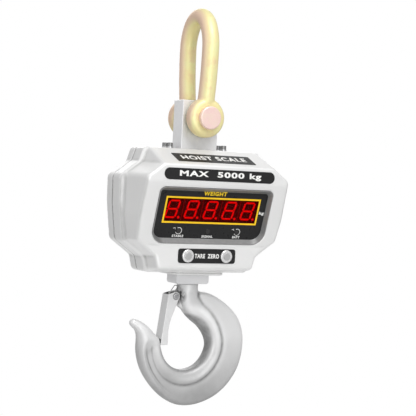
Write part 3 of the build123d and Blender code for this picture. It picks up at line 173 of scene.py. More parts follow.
class Surface:
    """Builds a material's node tree in object coordinates, with real-scale detail."""

    def __init__(self, name, colour, roughness, metallic=0.0):
        self.material = plain(name, colour, roughness, metallic)
        self.tree = self.material.node_tree
        self.shader = self.tree.nodes["Principled BSDF"]
        self.coords = self.tree.nodes.new("ShaderNodeTexCoord")
        self.colour = None
        self.base = colour
        self.normal = None

    def node(self, kind):
        return self.tree.nodes.new(kind)

    def link(self, start, end):
        self.tree.links.new(start, end)

    def noise(self, size_mm, detail=4.0, stretch=(1, 1, 1), roughness=0.55):
        """A noise pattern whose features are about size_mm across, from 0 to 1."""
        mapping = self.node("ShaderNodeMapping")
        mapping.inputs["Scale"].default_value = [1000 / size_mm / s for s in stretch]
        noise = self.node("ShaderNodeTexNoise")
        noise.inputs["Scale"].default_value = 1.0
        noise.inputs["Detail"].default_value = detail
        noise.inputs["Roughness"].default_value = roughness
        self.link(self.coords.outputs["Object"], mapping.inputs[0])
        self.link(mapping.outputs[0], noise.inputs["Vector"])
        return noise.outputs["Fac"]

    def spread(self, value, low, high, start=0.35, end=0.65):
        """Maps value from start..end to low..high."""
        ranged = self.node("ShaderNodeMapRange")
        ranged.inputs["From Min"].default_value = start
        ranged.inputs["From Max"].default_value = end
        ranged.inputs["To Min"].default_value = low
        ranged.inputs["To Max"].default_value = high
        self.link(value, ranged.inputs["Value"])
        return ranged.outputs[0]

    def tint(self, value, colour):
        """Mixes colour over the base where value is 1."""
        mix = self.node("ShaderNodeMix")
        mix.data_type = "RGBA"
        if self.colour is None:
            mix.inputs["A"].default_value = (*self.base, 1)
        else:
            self.link(self.colour, mix.inputs["A"])
        mix.inputs["B"].default_value = (*colour, 1)
        self.link(value, mix.inputs["Factor"])
        self.colour = mix.outputs["Result"]
        self.link(self.colour, self.shader.inputs["Base Color"])
        return self

    def mottle(self, size_mm, detail, amount, colour, edges=(0.35, 0.65)):
        """Tints in patches about size_mm across; amount is the least and the most."""
        return self.tint(self.spread(self.noise(size_mm, detail), *amount, *edges), colour)

    def patch(self, mask, size_mm, detail, amount, colour, edges=(0.35, 0.65)):
        """Tints where the mask is 1, broken up in patches about size_mm across."""
        broken = self.spread(self.noise(size_mm, detail), *amount, *edges)
        return self.tint(self.multiply(mask, broken), colour)

    def rough(self, value):
        self.link(value, self.shader.inputs["Roughness"])
        return self

    def roughen(self, size_mm, low, high):
        return self.rough(self.spread(self.noise(size_mm, 4), low, high))

    def bump(self, value, height_mm, strength=1.0):
        bump = self.node("ShaderNodeBump")
        bump.inputs["Strength"].default_value = strength
        bump.inputs["Distance"].default_value = height_mm * MM
        self.link(value, bump.inputs["Height"])
        if self.normal is not None:
            self.link(self.normal, bump.inputs["Normal"])
        self.normal = bump.outputs[0]
        self.link(self.normal, self.shader.inputs["Normal"])
        return self

    def pointiness(self, start, end):
        """1 on convex edges (or in creases when start is above end), 0 elsewhere."""
        geometry = self.node("ShaderNodeNewGeometry")
        return self.spread(geometry.outputs["Pointiness"], 0, 1, start, end)

    def facing(self, direction, start, end):
        """1 where the resting surface looks along direction."""
        dot = self.node("ShaderNodeVectorMath")
        dot.operation = "DOT_PRODUCT"
        dot.inputs[1].default_value = Vector(direction).normalized()
        self.link(self.coords.outputs["Normal"], dot.inputs[0])
        return self.spread(dot.outputs["Value"], 0, 1, start, end)

    def near_joint(self, inside, outside):
        """1 beside the joint plane between the covers, fading to 0; distances in millimetres."""
        split = self.node("ShaderNodeSeparateXYZ")
        away = self.node("ShaderNodeMath")
        away.operation = "ABSOLUTE"
        self.link(self.coords.outputs["Object"], split.inputs[0])
        self.link(split.outputs["Y"], away.inputs[0])
        return self.spread(away.outputs[0], 0, 1, outside * MM, inside * MM)

    def along(self, axis, start_mm, end_mm):
        """0 at one place on an axis to 1 at another."""
        split = self.node("ShaderNodeSeparateXYZ")
        self.link(self.coords.outputs["Object"], split.inputs[0])
        return self.spread(split.outputs[axis], 0, 1, start_mm * MM, end_mm * MM)

    def from_axis(self, x_mm, z_mm, start_mm, end_mm):
        """0 to 1 between two distances from a line through x, z that runs front to back."""
        flat = self.node("ShaderNodeVectorMath")
        flat.operation = "MULTIPLY"
        flat.inputs[1].default_value = (1, 0, 1)
        reach = self.node("ShaderNodeVectorMath")
        reach.operation = "DISTANCE"
        reach.inputs[1].default_value = (x_mm * MM, 0, z_mm * MM)
        self.link(self.coords.outputs["Object"], flat.inputs[0])
        self.link(flat.outputs[0], reach.inputs[0])
        return self.spread(reach.outputs["Value"], 0, 1, start_mm * MM, end_mm * MM)

    def multiply(self, a, b):
        product = self.node("ShaderNodeMath")
        product.operation = "MULTIPLY"
        self.link(a, product.inputs[0])
        self.link(b, product.inputs[1])
        return product.outputs[0]

    def set(self, socket, value):
        self.shader.inputs[socket].default_value = value
        return self


def paint(
    name,
    colour,
    worn,
    grain_mm=1.6,
    grain_height=0.03,
    roughness=(0.34, 0.44),
    metallic=0.25,
    seam_and_painted_light=False,
):
    """Silver paint over a casting: orange peel, slow shade drift, worn edges, painted shade in
    creases.

    When its flag is set it also gets the covers' marks: a dirty joint, painted shade dulling the
    steps at the sides' front edges and painted light making the underside paler.
    """
    s = Surface(name, colour, roughness[0], metallic)
    s.mottle(60, 3, (0, 0.35), shade(colour, 0.93))
    s.mottle(0.9, 2, (0, 0.25), shade(colour, 1.05))
    s.patch(s.pointiness(0.505, 0.54), 4, 5, (0, worn), grey(0.9))
    # Painted shade: darker in creases.
    s.patch(s.pointiness(0.499, 0.475), 9, 3, (0.5, 0.85), (0.26, 0.26, 0.25))
    if seam_and_painted_light:
        s.patch(s.near_joint(0.9, 2.2), 11, 3, (0.6, 0.85), grey(0.16))
        # Painted shade: the steps at the sides' front edges are dulled darker.
        for side in (-1, 1):
            turned = s.facing((0.6 * side, -0.8, 0), 0.8, 0.97)
            step_shade = s.multiply(turned, s.along("X", STEP_START * side, STEP_END * side))
            s.patch(step_shade, 14, 3, (0.7, 0.9), shade(colour, 0.62))
        # Painted light: the underside is made paler.
        s.patch(s.facing((0, -0.1, -1), 0.5, 0.85), 20, 3, (0.7, 0.9), (0.97, 0.97, 0.965))
    s.roughen(12, *roughness)
    s.bump(s.noise(grain_mm, 2), grain_height)
    s.bump(s.noise(14, 2), 0.15, 0.5)
    s.set("Coat Weight", 0.15)
    s.set("Coat Roughness", 0.25)
    return s.material


def forged_paint(name, colour):
    """Silver paint on the forging; painted shade in the bowl, at the foot, on the limb, in creases
    and by the ear; a painted highlight on the bead.
    """
    s = Surface(name, colour, 0.42, 0.4)
    s.mottle(50, 3, (0, 0.3), shade(colour, 0.92))
    s.mottle(0.9, 2, (0, 0.2), shade(colour, 1.05))
    # Painted shade: darker towards the foot.
    s.patch(s.along("Z", -462, -550), 40, 3, (0.7, 0.9), shade(colour, 0.44))
    # Painted shade: darker on the limb.
    limb = s.multiply(s.along("X", -50, -78), s.along("Z", -448, -470))
    s.patch(limb, 30, 3, (0.7, 0.9), shade(colour, 0.66))
    # Painted highlight: paler along the bead's crown.
    crown = s.multiply(s.from_axis(*BOWL, 46, 52), s.from_axis(*BOWL, 62, 55))
    s.patch(s.multiply(crown, s.along("X", -30, 25)), 20, 3, (0.6, 0.9), grey(0.92))
    # Painted shade: dark in the bowl's seat.
    s.patch(s.from_axis(*BOWL, 46, 41), 8, 4, (0.75, 0.95), grey(0.26))
    # Painted shade: darker in creases.
    s.patch(s.pointiness(0.499, 0.477), 9, 3, (0.6, 0.9), grey(0.18))
    # Painted shade: dark round the latch's pivot, between the ear and the shank.
    s.patch(s.from_axis(pivot.x, pivot.z, 17, 11), 5, 4, (0.2, 1.0), grey(0.12), (0.35, 0.55))
    s.roughen(12, 0.46, 0.55)
    s.bump(s.noise(1.4, 2), 0.02)
    s.bump(s.noise(14, 2), 0.15, 0.5)
    s.set("Coat Weight", 0.05)
    s.set("Coat Roughness", 0.3)
    return s.material


def cell_plating(name, colour):
    """Brushed nickel plate on the load cell, with painted shade on its front and back faces above
    the housing, on the block below it and in creases.
    """
    s = Surface(name, colour, 0.45, 0.35)
    s.mottle(30, 3, (0, 0.3), shade(colour, 0.88))
    s.mottle(2.0, 3, (0, 0.2), shade(colour, 0.8))
    # Painted shade: the block below the housing is darker than the bar above it.
    s.tint(s.along("Z", -340, -366), shade(colour, 0.88))
    # Painted shade: darker on the front and back faces above the housing.
    for side in (-1, 1):
        broad = s.multiply(s.facing((0, side, 0), 0.5, 0.95), s.along("Z", -260, -200))
        s.patch(broad, 25, 3, (0.75, 0.95), shade(colour, 0.74))
    # Painted shade: darker in creases.
    s.patch(s.pointiness(0.49, 0.45), 9, 3, (0.4, 0.7), grey(0.25))
    s.roughen(10, 0.38, 0.5)
    s.bump(s.noise(0.6, 3, (1, 1, 30)), 0.02)
    return s.material


def latch_plating(name, colour):
    """Dull zinc on the pressed latch, darker in a ring round the rivet, with painted shade in
    creases and painted black on the insides of its cheeks.
    """
    s = Surface(name, colour, 0.4, 0.4)
    s.mottle(30, 3, (0, 0.35), shade(colour, 0.86))
    s.mottle(1.2, 2, (0, 0.25), shade(colour, 1.12))
    # Darker in a ring round the rivet's head.
    s.patch(s.from_axis(pivot.x, pivot.z, 5.8, 4.8), 4, 2, (0.6, 0.9), grey(0.16))
    # Painted shade: darker in creases.
    s.patch(s.pointiness(0.49, 0.45), 6, 3, (0.5, 0.8), grey(0.2))
    for side in (-1, 1):  # painted shade: the insides of the two cheeks are black
        cheek = s.multiply(s.facing((0, side, 0), 0.4, 0.8), s.along("Y", -2 * side, -6 * side))
        s.tint(cheek, grey(0.07))
    s.roughen(8, 0.34, 0.46)
    s.bump(s.noise(1.0, 3), 0.04)
    return s.material


def brushed(name, colour, roughness, stretch, grain_mm=0.35, metallic=1.0):
    """Machined or drawn metal with fine lines along one direction."""
    s = Surface(name, colour, roughness, metallic)
    lines = s.noise(grain_mm, 3, stretch)
    s.tint(s.spread(lines, 0, 0.5), shade(colour, 0.82))
    s.mottle(25, 3, (0, 0.3), shade(colour, 0.9))
    s.rough(s.spread(lines, roughness * 0.8, roughness * 1.25))
    s.bump(lines, 0.012, 0.6)
    return s.material


def moulded(name, colour, roughness, grain_mm=0.5, grain_height=0.01, coat=0.0, gloss=0.5):
    """Plastic or rubber with a fine moulded texture and a little wear."""
    s = Surface(name, colour, roughness)
    s.mottle(18, 4, (0, 0.5), shade(colour, 0.8))
    scuffed = tuple(min(c * 1.3 + 0.02, 1) for c in colour)
    s.mottle(2.5, 5, (0, 0.15), scuffed, (0.5, 0.7))
    s.roughen(6, roughness * 0.9, min(roughness * 1.15, 1))
    s.bump(s.noise(grain_mm, 2), grain_height, 0.5)
    s.set("Specular IOR Level", gloss)
    s.set("Coat Weight", coat)
    s.set("Coat Roughness", 0.08)
    return s.material


def zinc_yellow(name):
    """Yellow passivated zinc: straw yellow with pink and green interference patches, painted light
    making faces turned left and right pinker, and painted shade in creases.
    """
    s = Surface(name, (0.82, 0.73, 0.37), 0.42, 0.3)
    s.mottle(22, 3, (0, 0.75), (0.80, 0.79, 0.42), (0.42, 0.62))
    s.mottle(16, 4, (0, 0.6), (0.78, 0.58, 0.36), (0.5, 0.66))
    # Painted light: a pinker tint on faces turned left and up, and on faces turned right.
    s.tint(s.facing((-1, 0.1, 0.25), 0.5, 0.95), (0.76, 0.56, 0.42))
    s.tint(s.facing((1, 0.1, -0.1), 0.55, 1.0), (0.80, 0.52, 0.46))
    # Painted shade: darker in creases.
    s.patch(s.pointiness(0.495, 0.46), 7, 3, (0.3, 0.6), (0.40, 0.33, 0.18))
    s.roughen(9, 0.42, 0.54)
    s.bump(s.noise(5, 3), 0.05, 0.6)
    s.bump(s.noise(0.8, 2), 0.012, 0.5)
    return s.material


def zinc_pink(name):
    """The pin: the same passivate gone pink."""
    s = Surface(name, (0.86, 0.62, 0.58), 0.38, 0.3)
    s.mottle(10, 3, (0, 0.5), (0.84, 0.70, 0.56))
    s.mottle(3, 4, (0, 0.3), (0.9, 0.72, 0.70), (0.5, 0.7))
    s.roughen(5, 0.32, 0.46)
    s.bump(s.noise(0.7, 2), 0.012, 0.5)
    return s.material


def lit(name, colour, strength, base):
    """A lit display segment: light with the fine grain of its diffuser."""
    s = Surface(name, base, 0.6)
    s.set("Specular IOR Level", 0.05)
    s.mottle(1.2, 2, (0, 0.3), shade(base, 0.7))
    s.set("Emission Color", (*colour, 1))
    s.set("Emission Strength", strength)
    return s.material


def filter_glass(name):
    s = Surface(name, (0.10, 0.0, 0.0), 0.08)
    s.mottle(30, 2, (0, 0.3), (0.14, 0.0, 0.0))
    s.roughen(4, 0.06, 0.12)
    s.set("Alpha", 0.16)
    s.set("Specular IOR Level", 0.06)
    return s.material


MATERIALS = {
    "housing_paint": paint("housing_paint", (0.74, 0.74, 0.735), 0.15, seam_and_painted_light=True),
    "plate_paint": paint("plate_paint", (0.76, 0.76, 0.755), 0.3),
    "hook_paint": forged_paint("hook_paint", grey(0.70)),
    "zinc_steel": zinc_yellow("zinc_steel"),
    "zinc_pink": zinc_pink("zinc_pink"),
    "plain_steel": brushed("plain_steel", (0.56, 0.56, 0.57), 0.3, (1, 1, 8)),
    "cell_steel": cell_plating("cell_steel", (0.92, 0.92, 0.93)),
    "gauge_foil": moulded("gauge_foil", (0.55, 0.34, 0.10), 0.4),
    "gasket": moulded("gasket", grey(0.07), 0.8),
    "bezel_grey": paint("bezel_grey", grey(0.27), 0.05, 0.5, 0.004, (0.36, 0.42), 0.5),
    "panel_black": moulded("panel_black", (0.012, 0.012, 0.0125), 0.3, 0.8, 0.003, 0.0, 0.25),
    "frame_yellow": moulded("frame_yellow", (0.95, 0.58, 0.0), 0.45, 0.4, 0.003),
    "filter_red": filter_glass("filter_red"),
    "module_dark": lit("module_dark", (0.35, 0.0, 0.0), 0.05, (0.02, 0.0, 0.0)),
    "module_edge": lit("module_edge", (0.5, 0.0, 0.0), 0.5, (0.05, 0.0, 0.0)),
    "led_red": lit("led_red", (1.0, 0.0, 0.0), 0.85, (0.25, 0.0, 0.0)),
    "board_green": moulded("board_green", (0.01, 0.10, 0.03), 0.35),
    "nylon": moulded("nylon", (0.75, 0.74, 0.68), 0.5),
    "lamp_dark": moulded("lamp_dark", (0.004, 0.003, 0.003), 0.12, 0.8, 0.002, 0.3),
    "cable_grey": moulded("cable_grey", grey(0.10), 0.6),
    "label_black": moulded("label_black", (0.014, 0.014, 0.0145), 0.42, 0.5, 0.004, 0.0, 0.25),
    "ring_chrome": brushed("ring_chrome", grey(0.92), 0.28, (1, 1, 1), 0.35, 0.7),
    "cap_white": brushed("cap_white", grey(0.50), 0.36, (1, 1, 1), 0.5, 0.5),
    "switch_black": moulded("switch_black", grey(0.02), 0.5),
    "tray_black": moulded("tray_black", grey(0.03), 0.6),
    "battery_case": moulded("battery_case", (0.05, 0.05, 0.055), 0.5),
    "rubber_black": moulded("rubber_black", grey(0.018), 0.8, 0.8, 0.02),
    "bearing_steel": brushed("bearing_steel", (0.62, 0.62, 0.63), 0.18, (1, 1, 6)),
    "cage_brass": brushed("cage_brass", (0.66, 0.45, 0.16), 0.3, (1, 1, 6)),
    "dark_steel": brushed("dark_steel", grey(0.26), 0.3, (1, 1, 6), 0.35, 0.8),
    "latch_zinc": latch_plating("latch_zinc", grey(0.74)),
    "print_white": moulded("print_white", (0.80, 0.80, 0.78), 0.5),
    "print_yellow": moulded("print_yellow", (0.98, 0.66, 0.0), 0.5),
}

for node_name, node_object in nodes.items():
    node_object.data.materials.clear()
    node_object.data.materials.append(MATERIALS[slot_of[node_name]])
for node_name in ("top_screws", "case_screws"):
    nodes[node_name].data.materials[0] = MATERIALS["dark_steel"]

# ---------------------------------------------------------------- cast and forged skins


def new_piece(name, mesh, body, material):
    piece = bpy.data.objects.new(name, mesh)
    scene.collection.objects.link(piece)
    mesh.materials.clear()
    mesh.materials.append(MATERIALS[material])
    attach(piece, body)
    return piece


WELD = 2e-6  # metres


def soft_skin(node, body, voxel_mm, passes, material=None):
    """A dense copy of a CAD node with its edges rounded as casting or forging leaves them."""
    mesh = nodes[node].data.copy()
    welded = bmesh.new()
    welded.from_mesh(mesh)
    bmesh.ops.remove_doubles(welded, verts=welded.verts, dist=WELD)
    welded.to_mesh(mesh)
    welded.free()
    worker = bpy.data.objects.new("worker", mesh)
    scene.collection.objects.link(worker)
    remesh = worker.modifiers.new("remesh", "REMESH")
    remesh.mode = "VOXEL"
    remesh.voxel_size = voxel_mm * MM
    remesh.use_smooth_shade = True
    smooth = worker.modifiers.new("smooth", "SMOOTH")
    smooth.factor = 0.5
    smooth.iterations = passes
    bpy.context.view_layer.update()
    evaluated = worker.evaluated_get(bpy.context.evaluated_depsgraph_get())
    result = bpy.data.meshes.new_from_object(evaluated)
    bpy.data.objects.remove(worker)
    slot = slot_of[node]
    piece = new_piece(node + "_skin", result, body, material or slot)
    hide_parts(node)


soft_skin("front_cover", "scale", 1.3, 8)
soft_skin("rear_cover", "scale", 1.5, 6)
soft_skin("shackle_bow", "shackle", 1.0, 12)
soft_skin("shackle_pin", "shackle", 0.8, 4, "zinc_pink")
soft_skin("latch", "hook_latch", 0.5, 3)
soft_skin("base_plate", "scale", 0.8, 3)

# ---------------------------------------------------------------- forged hook

# Sections from the shank to the point, in millimetres as (inner x, inner z, outer x, outer z),
# and for each the half thickness of the bead and of the web, the bead's width, and the
# rounding of the inner corner and of the outer rim.
HOOK_SECTIONS = [
    ((-16, -384, 16, -384), (16, 16, 32, 16, 16)),
    ((-16, -391, 16, -391), (16, 16, 32, 16, 16)),
    ((-15.8, -397, 20, -395.2), (15.8, 10, 31, 15, 11)),
    ((-15.4, -402, 30, -396.5), (15.4, 8.5, 30.5, 14, 8)),
    ((-14.2, -408, 43, -400.5), (15, 8, 30, 13.5, 7)),
    ((-12.3, -414.3, 57, -408), (14.6, 8, 29, 13, 7)),
    ((-8.8, -420.5, 69, -416), (14.3, 8, 28, 12, 7)),
    ((-3.6, -426.9, 79, -424.5), (14, 8, 27, 10.5, 7)),
    ((3, -433.5, 88, -435), (13.8, 8, 26, 9, 7)),
    ((11, -440, 94.5, -448), (13.6, 8, 25, 9, 7)),
    ((20, -446.5, 98.3, -463), (13.5, 8, 24, 9, 7)),
    ((28, -455, 98.8, -478), (13.5, 8, 23.5, 9, 7)),
    ((34, -464.5, 97, -494), (13.5, 8, 23, 9, 7)),
    ((36.8, -475.5, 92, -511), (13.5, 8, 23, 9, 7)),
    ((34.1, -487, 83.5, -526), (13.5, 8, 23, 9, 7)),
    ((27.6, -497.7, 70.8, -541), (13.5, 8, 23, 9, 7)),
    ((18.2, -505.9, 53.8, -553.5), (13.5, 8, 23, 9, 7)),
    ((6.7, -510.8, 33.5, -562), (13.5, 8, 23, 9, 7)),
    ((-4.4, -512, 12, -566), (13.5, 8, 22.5, 9, 7)),
    ((-15.4, -510, -9, -564.4), (13.5, 8, 22, 9, 7)),
    ((-25.4, -505.2, -28, -556.6), (13.5, 8, 21, 9, 7.5)),
    ((-33.6, -497.7, -45, -544.2), (13.5, 8, 20, 9, 8)),
    ((-39.5, -488.3, -60, -528), (13.5, 8, 18.5, 8.5, 8.5)),
    ((-43.1, -478.7, -71, -510.7), (13.5, 8.3, 17, 8, 9)),
    ((-44.8, -471.3, -77.3, -494), (13.5, 9, 15.5, 8, 10)),
    ((-46.5, -464.5, -80, -480), (13.2, 11.5, 15, 9, 12)),
    ((-52.5, -457.5, -80.5, -468), (12, 12, 15, 11, 14)),
    ((-60, -449.8, -81.2, -458.6), (10.3, 10.3, 12, 10, 11)),
    ((-68, -443.5, -84.6, -451.2), (8.6, 8.6, 10, 8.6, 9)),
    ((-76.5, -438.6, -87.3, -449.2), (7.2, 7.2, 8, 7, 7.3)),
    ((-83.6, -436, -89.4, -447), (6.2, 6.2, 8, 6.1, 6.1)),
    ((-86.8, -435.3, -91.7, -444.9), (5.4, 5.4, 8, 5.3, 5.3)),
    ((-89.9, -436.3, -92.6, -441.8), (3.1, 3.1, 8, 3, 3)),
    ((-91.6, -437.9, -92.5, -439.4), (0.9, 0.9, 8, 0.85, 0.85)),
]
SHANK_RINGS = ((13, -294), (13, -322), (14, -322.3), (14, -383.4))  # radius and z
SHANK_TOP = (0, 0, -294)
TIP = (-92.2, 0, -438.5)
LIMB_START, LIMB_END = 18.0, 23.5  # sections between which the outer edge thickens
TIP_START = 27  # section from which the bead's foot is measured straight across
STEPS = 5  # rings from one section to the next
CORNER_SAMPLES = 6
FLAT_SAMPLES = 28
MOST_ROUNDING = 0.49  # of a section's width
POLE_WELD = 1e-5  # metres; joins the points where the rings close up at the edges
CREASE = 0.5  # how softly the bead's foot blends into the web
BEAD_ROUNDING = 2.4  # power of the bead's profile
GROOVE_DEPTH, GROOVE_WIDTH = 1.5, 6.0  # the hollow in the web along the bead's foot
CROWN = 2.6  # how much thinner the web is at its rim
RIM_WIDTH = 12.0  # of the limb's thickened outer edge


def catmull(rows, steps):
    """Points of a smooth curve through the rows, steps to each stretch."""
    out = []
    for index in range(len(rows) - 1):
        p0 = rows[max(index - 1, 0)]
        p1, p2 = rows[index], rows[index + 1]
        p3 = rows[min(index + 2, len(rows) - 1)]
        for step in range(steps):
            t = step / steps
            out.append(
                [
                    0.5
                    * (
                        2 * b
                        + (c - a) * t
                        + (2 * a - 5 * b + 4 * c - d) * t * t
                        + (3 * b - a - 3 * c + d) * t**3
                    )
                    for a, b, c, d in zip(p0, p1, p2, p3)
                ]
            )
    out.append(list(rows[-1]))
    return np.array(out, float)


def ease(value):
    value = np.clip(value, 0, 1)
    return value * value * (3 - 2 * value)


def distance_to(points, line):
    """Distance of each point from a densely sampled line, taking its stretches as straight."""
    start, end = line[:-1], line[1:]
    along = end - start
    offset = points[:, None, :] - start[None]
    t = (offset * along).sum(-1) / np.maximum((along**2).sum(-1), 1e-9)
    nearest = start + np.clip(t, 0, 1)[..., None] * along
    return np.sqrt(((points[:, None, :] - nearest) ** 2).sum(-1).min(1))


def soft_positive(value):
    """The value where it is above zero, blending to zero below."""
    return 0.5 * (value + np.sqrt(value**2 + CREASE**2))


def round_off(distance, radius):
    return np.sqrt(np.clip(1 - (1 - np.clip(distance / radius, 0, 1)) ** 2, 0, 1))


def ring_faces(rings, size):
    faces = []
    for ring in range(rings - 1):
        for k in range(size):
            n = (k + 1) % size
            here, beyond = ring * size, (ring + 1) * size
            faces.append((here + k, here + n, beyond + n, beyond + k))
    return faces


def across(width, inner_round, outer_round):
    """Where a section is sampled, as distances from its inner edge."""
    inner_round = min(inner_round, width * MOST_ROUNDING)
    outer_round = min(outer_round, width * MOST_ROUNDING)
    turn = [1 - cos(pi / 2 * k / CORNER_SAMPLES) for k in range(CORNER_SAMPLES)]
    inner = [inner_round * t for t in turn]
    outer = [width - outer_round * t for t in reversed(turn)]
    between = width - inner_round - outer_round
    flat = [inner_round + between * k / FLAT_SAMPLES for k in range(FLAT_SAMPLES)]
    return np.array(inner + flat + [width - outer_round] + outer)


def section_ring(x, z, y):
    """A closed ring: a section's inner edge, its front, its rim and its back."""
    inner = [(x[0], -y[0] * k / 3, z[0]) for k in range(3)]
    front = [(x[k], -y[k], z[k]) for k in range(len(x))]
    back = [(x[k], y[k], z[k]) for k in range(len(x) - 2, -1, -1)]
    inner_back = [(x[0], y[0] * k / 3, z[0]) for k in (2, 1)]
    return inner + front + back + inner_back


def build_hook():
    edges = catmull([section[0] for section in HOOK_SECTIONS], STEPS)
    sizes = catmull([section[1] for section in HOOK_SECTIONS], STEPS)
    inner_line, outer_line = edges[:, :2], edges[:, 2:]
    rings = []
    for radius, level in SHANK_RINGS:
        d = across(2 * radius, radius, radius)
        height = np.sqrt(np.clip(radius**2 - (radius - d) ** 2, 0, None))
        rings.append(section_ring(d - radius, np.full(len(d), level), height))
    for index, (edge, size) in enumerate(zip(edges, sizes)):
        bead, web, bead_width, inner_round, outer_round = size
        start, end = edge[:2], edge[2:]
        width = np.linalg.norm(end - start)
        inner_round = min(inner_round, width * MOST_ROUNDING)
        outer_round = min(outer_round, width * MOST_ROUNDING)
        d = across(width, inner_round, outer_round)
        points = start + (end - start) * (d / width)[:, None]
        station = index / STEPS
        if station <= 1 or station >= TIP_START:
            d_in, d_out = d, width - d
        else:
            d_in = distance_to(points, inner_line)
            d_out = distance_to(points, outer_line)
        limb = float(ease((station - LIMB_START) / (LIMB_END - LIMB_START)))
        rise = (bead - web) * (1 - (d_in / bead_width) ** BEAD_ROUNDING)
        fall = CROWN * np.clip((d_in - bead_width) / np.maximum(width - bead_width, 1), 0, 1) ** 2
        rim_rise = (bead - web) * limb * (1 - (d_out / RIM_WIDTH) ** BEAD_ROUNDING)
        height = web - fall * (1 - limb)
        groove = np.exp(-(((d_in - bead_width) / GROOVE_WIDTH) ** 2))
        height = height - GROOVE_DEPTH * (1 - limb) * groove
        height = height + soft_positive(rise) + soft_positive(rim_rise)
        height = np.minimum(height, bead)
        profile = (height - inner_round) + inner_round * round_off(d_in, inner_round)
        profile = np.maximum(profile, 0) * round_off(d_out, outer_round)
        rings.append(section_ring(points[:, 0], points[:, 1], profile))
    ring_size = len(rings[0])
    verts = [p for ring in rings for p in ring]
    faces = ring_faces(len(rings), ring_size)
    top, tip = len(verts), len(verts) + 1
    last = ring_size * (len(rings) - 1)
    verts += [SHANK_TOP, TIP]
    faces += [(top, (k + 1) % ring_size, k) for k in range(ring_size)]
    faces += [(tip, last + k, last + (k + 1) % ring_size) for k in range(ring_size)]
    mesh = bpy.data.meshes.new("hook")
    mesh.from_pydata([[c * MM for c in p] for p in verts], [], faces)
    tidy = bmesh.new()
    tidy.from_mesh(mesh)
    bmesh.ops.remove_doubles(tidy, verts=tidy.verts, dist=POLE_WELD)
    bmesh.ops.recalc_face_normals(tidy, faces=tidy.faces)
    tidy.to_mesh(mesh)
    tidy.free()
    mesh.shade_smooth()
    piece = new_piece("forged_hook", mesh, "swivel_hook", "hook_paint")
    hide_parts("hook")


build_hook()


def plate(name, outline, half_depth, bevel, body, material):
    """A flat piece with rounded edges: outline in the XZ plane, in millimetres."""
    shape = bmesh.new()
    front = [shape.verts.new((x * MM, -half_depth * MM, z * MM)) for x, z in outline]
    back = [shape.verts.new((x * MM, half_depth * MM, z * MM)) for x, z in outline]
    shape.faces.new(front)
    shape.faces.new(back[::-1])
    count = len(outline)
    for k in range(count):
        n = (k + 1) % count
        shape.faces.new((front[n], front[k], back[k], back[n]))
    bmesh.ops.recalc_face_normals(shape, faces=shape.faces)
    rim = [e for e in shape.edges if abs(e.verts[0].co.y - e.verts[1].co.y) < 1e-9]
    bmesh.ops.bevel(shape, geom=rim, offset=bevel * MM, segments=3, profile=0.5, affect="EDGES")
    mesh = bpy.data.meshes.new(name)
    shape.to_mesh(mesh)
    shape.free()
    mesh.shade_smooth()
    return new_piece(name, mesh, body, material)


EAR_RADIUS = 7.6
ear_arc = [
    (pivot.x + EAR_RADIUS * cos(radians(a)), pivot.z + EAR_RADIUS * sin(radians(a)))
    for a in range(95, 246, 10)
]
EAR_ROOT = [(-8, -422), (-8, -391.5)]  # inside the neck
plate("latch_ear", ear_arc + EAR_ROOT, 5, 1.0, "swivel_hook", "hook_paint")

# ---------------------------------------------------------------- latch spring

SPRING_WIRE = 0.6
COIL_RADIUS = 4.8
COIL_START_Y, COIL_END_Y = 6.0, 7.4
HOLDING_END = (5.4, 15.5)  # from the pivot, in millimetres
CLOSING_END = (-12.0, -26.0)
CORNER = 2.0  # radius of the bend from the middle bar to a coil's leg
COIL_STEPS = 60


def round_line(name, points, radius, fineness):
    """A curve through millimetre points, round across and with closed ends."""
    curve = bpy.data.curves.new(name, "CURVE")
    curve.dimensions = "3D"
    curve.bevel_depth = radius * MM
    curve.bevel_resolution = fineness
    curve.use_fill_caps = True
    spline = curve.splines.new("POLY")
    spline.points.add(len(points) - 1)
    for point, place in zip(spline.points, points):
        point.co = (*(c * MM for c in place), 1)
    return curve


SLIVER = 1e-7  # metres


def weld(mesh):
    """Closes the open seams of a mesh made from a curve or from text."""
    shape = bmesh.new()
    shape.from_mesh(mesh)
    bmesh.ops.remove_doubles(shape, verts=shape.verts, dist=WELD)
    bmesh.ops.dissolve_degenerate(shape, edges=shape.edges, dist=SLIVER)
    bmesh.ops.recalc_face_normals(shape, faces=shape.faces)
    shape.to_mesh(mesh)
    shape.free()


def made_solid(data):
    """The mesh that a curve or a text makes."""
    worker = bpy.data.objects.new("worker", data)
    scene.collection.objects.link(worker)
    bpy.context.view_layer.update()
    evaluated = worker.evaluated_get(bpy.context.evaluated_depsgraph_get())
    mesh = bpy.data.meshes.new_from_object(evaluated)
    bpy.data.objects.remove(worker)
    return mesh


def tangent_angle(point):
    """Angle on the coil at which a wire from the point meets it."""
    reach = hypot(*point)
    return atan2(point[1], point[0]) + acos(COIL_RADIUS / reach)


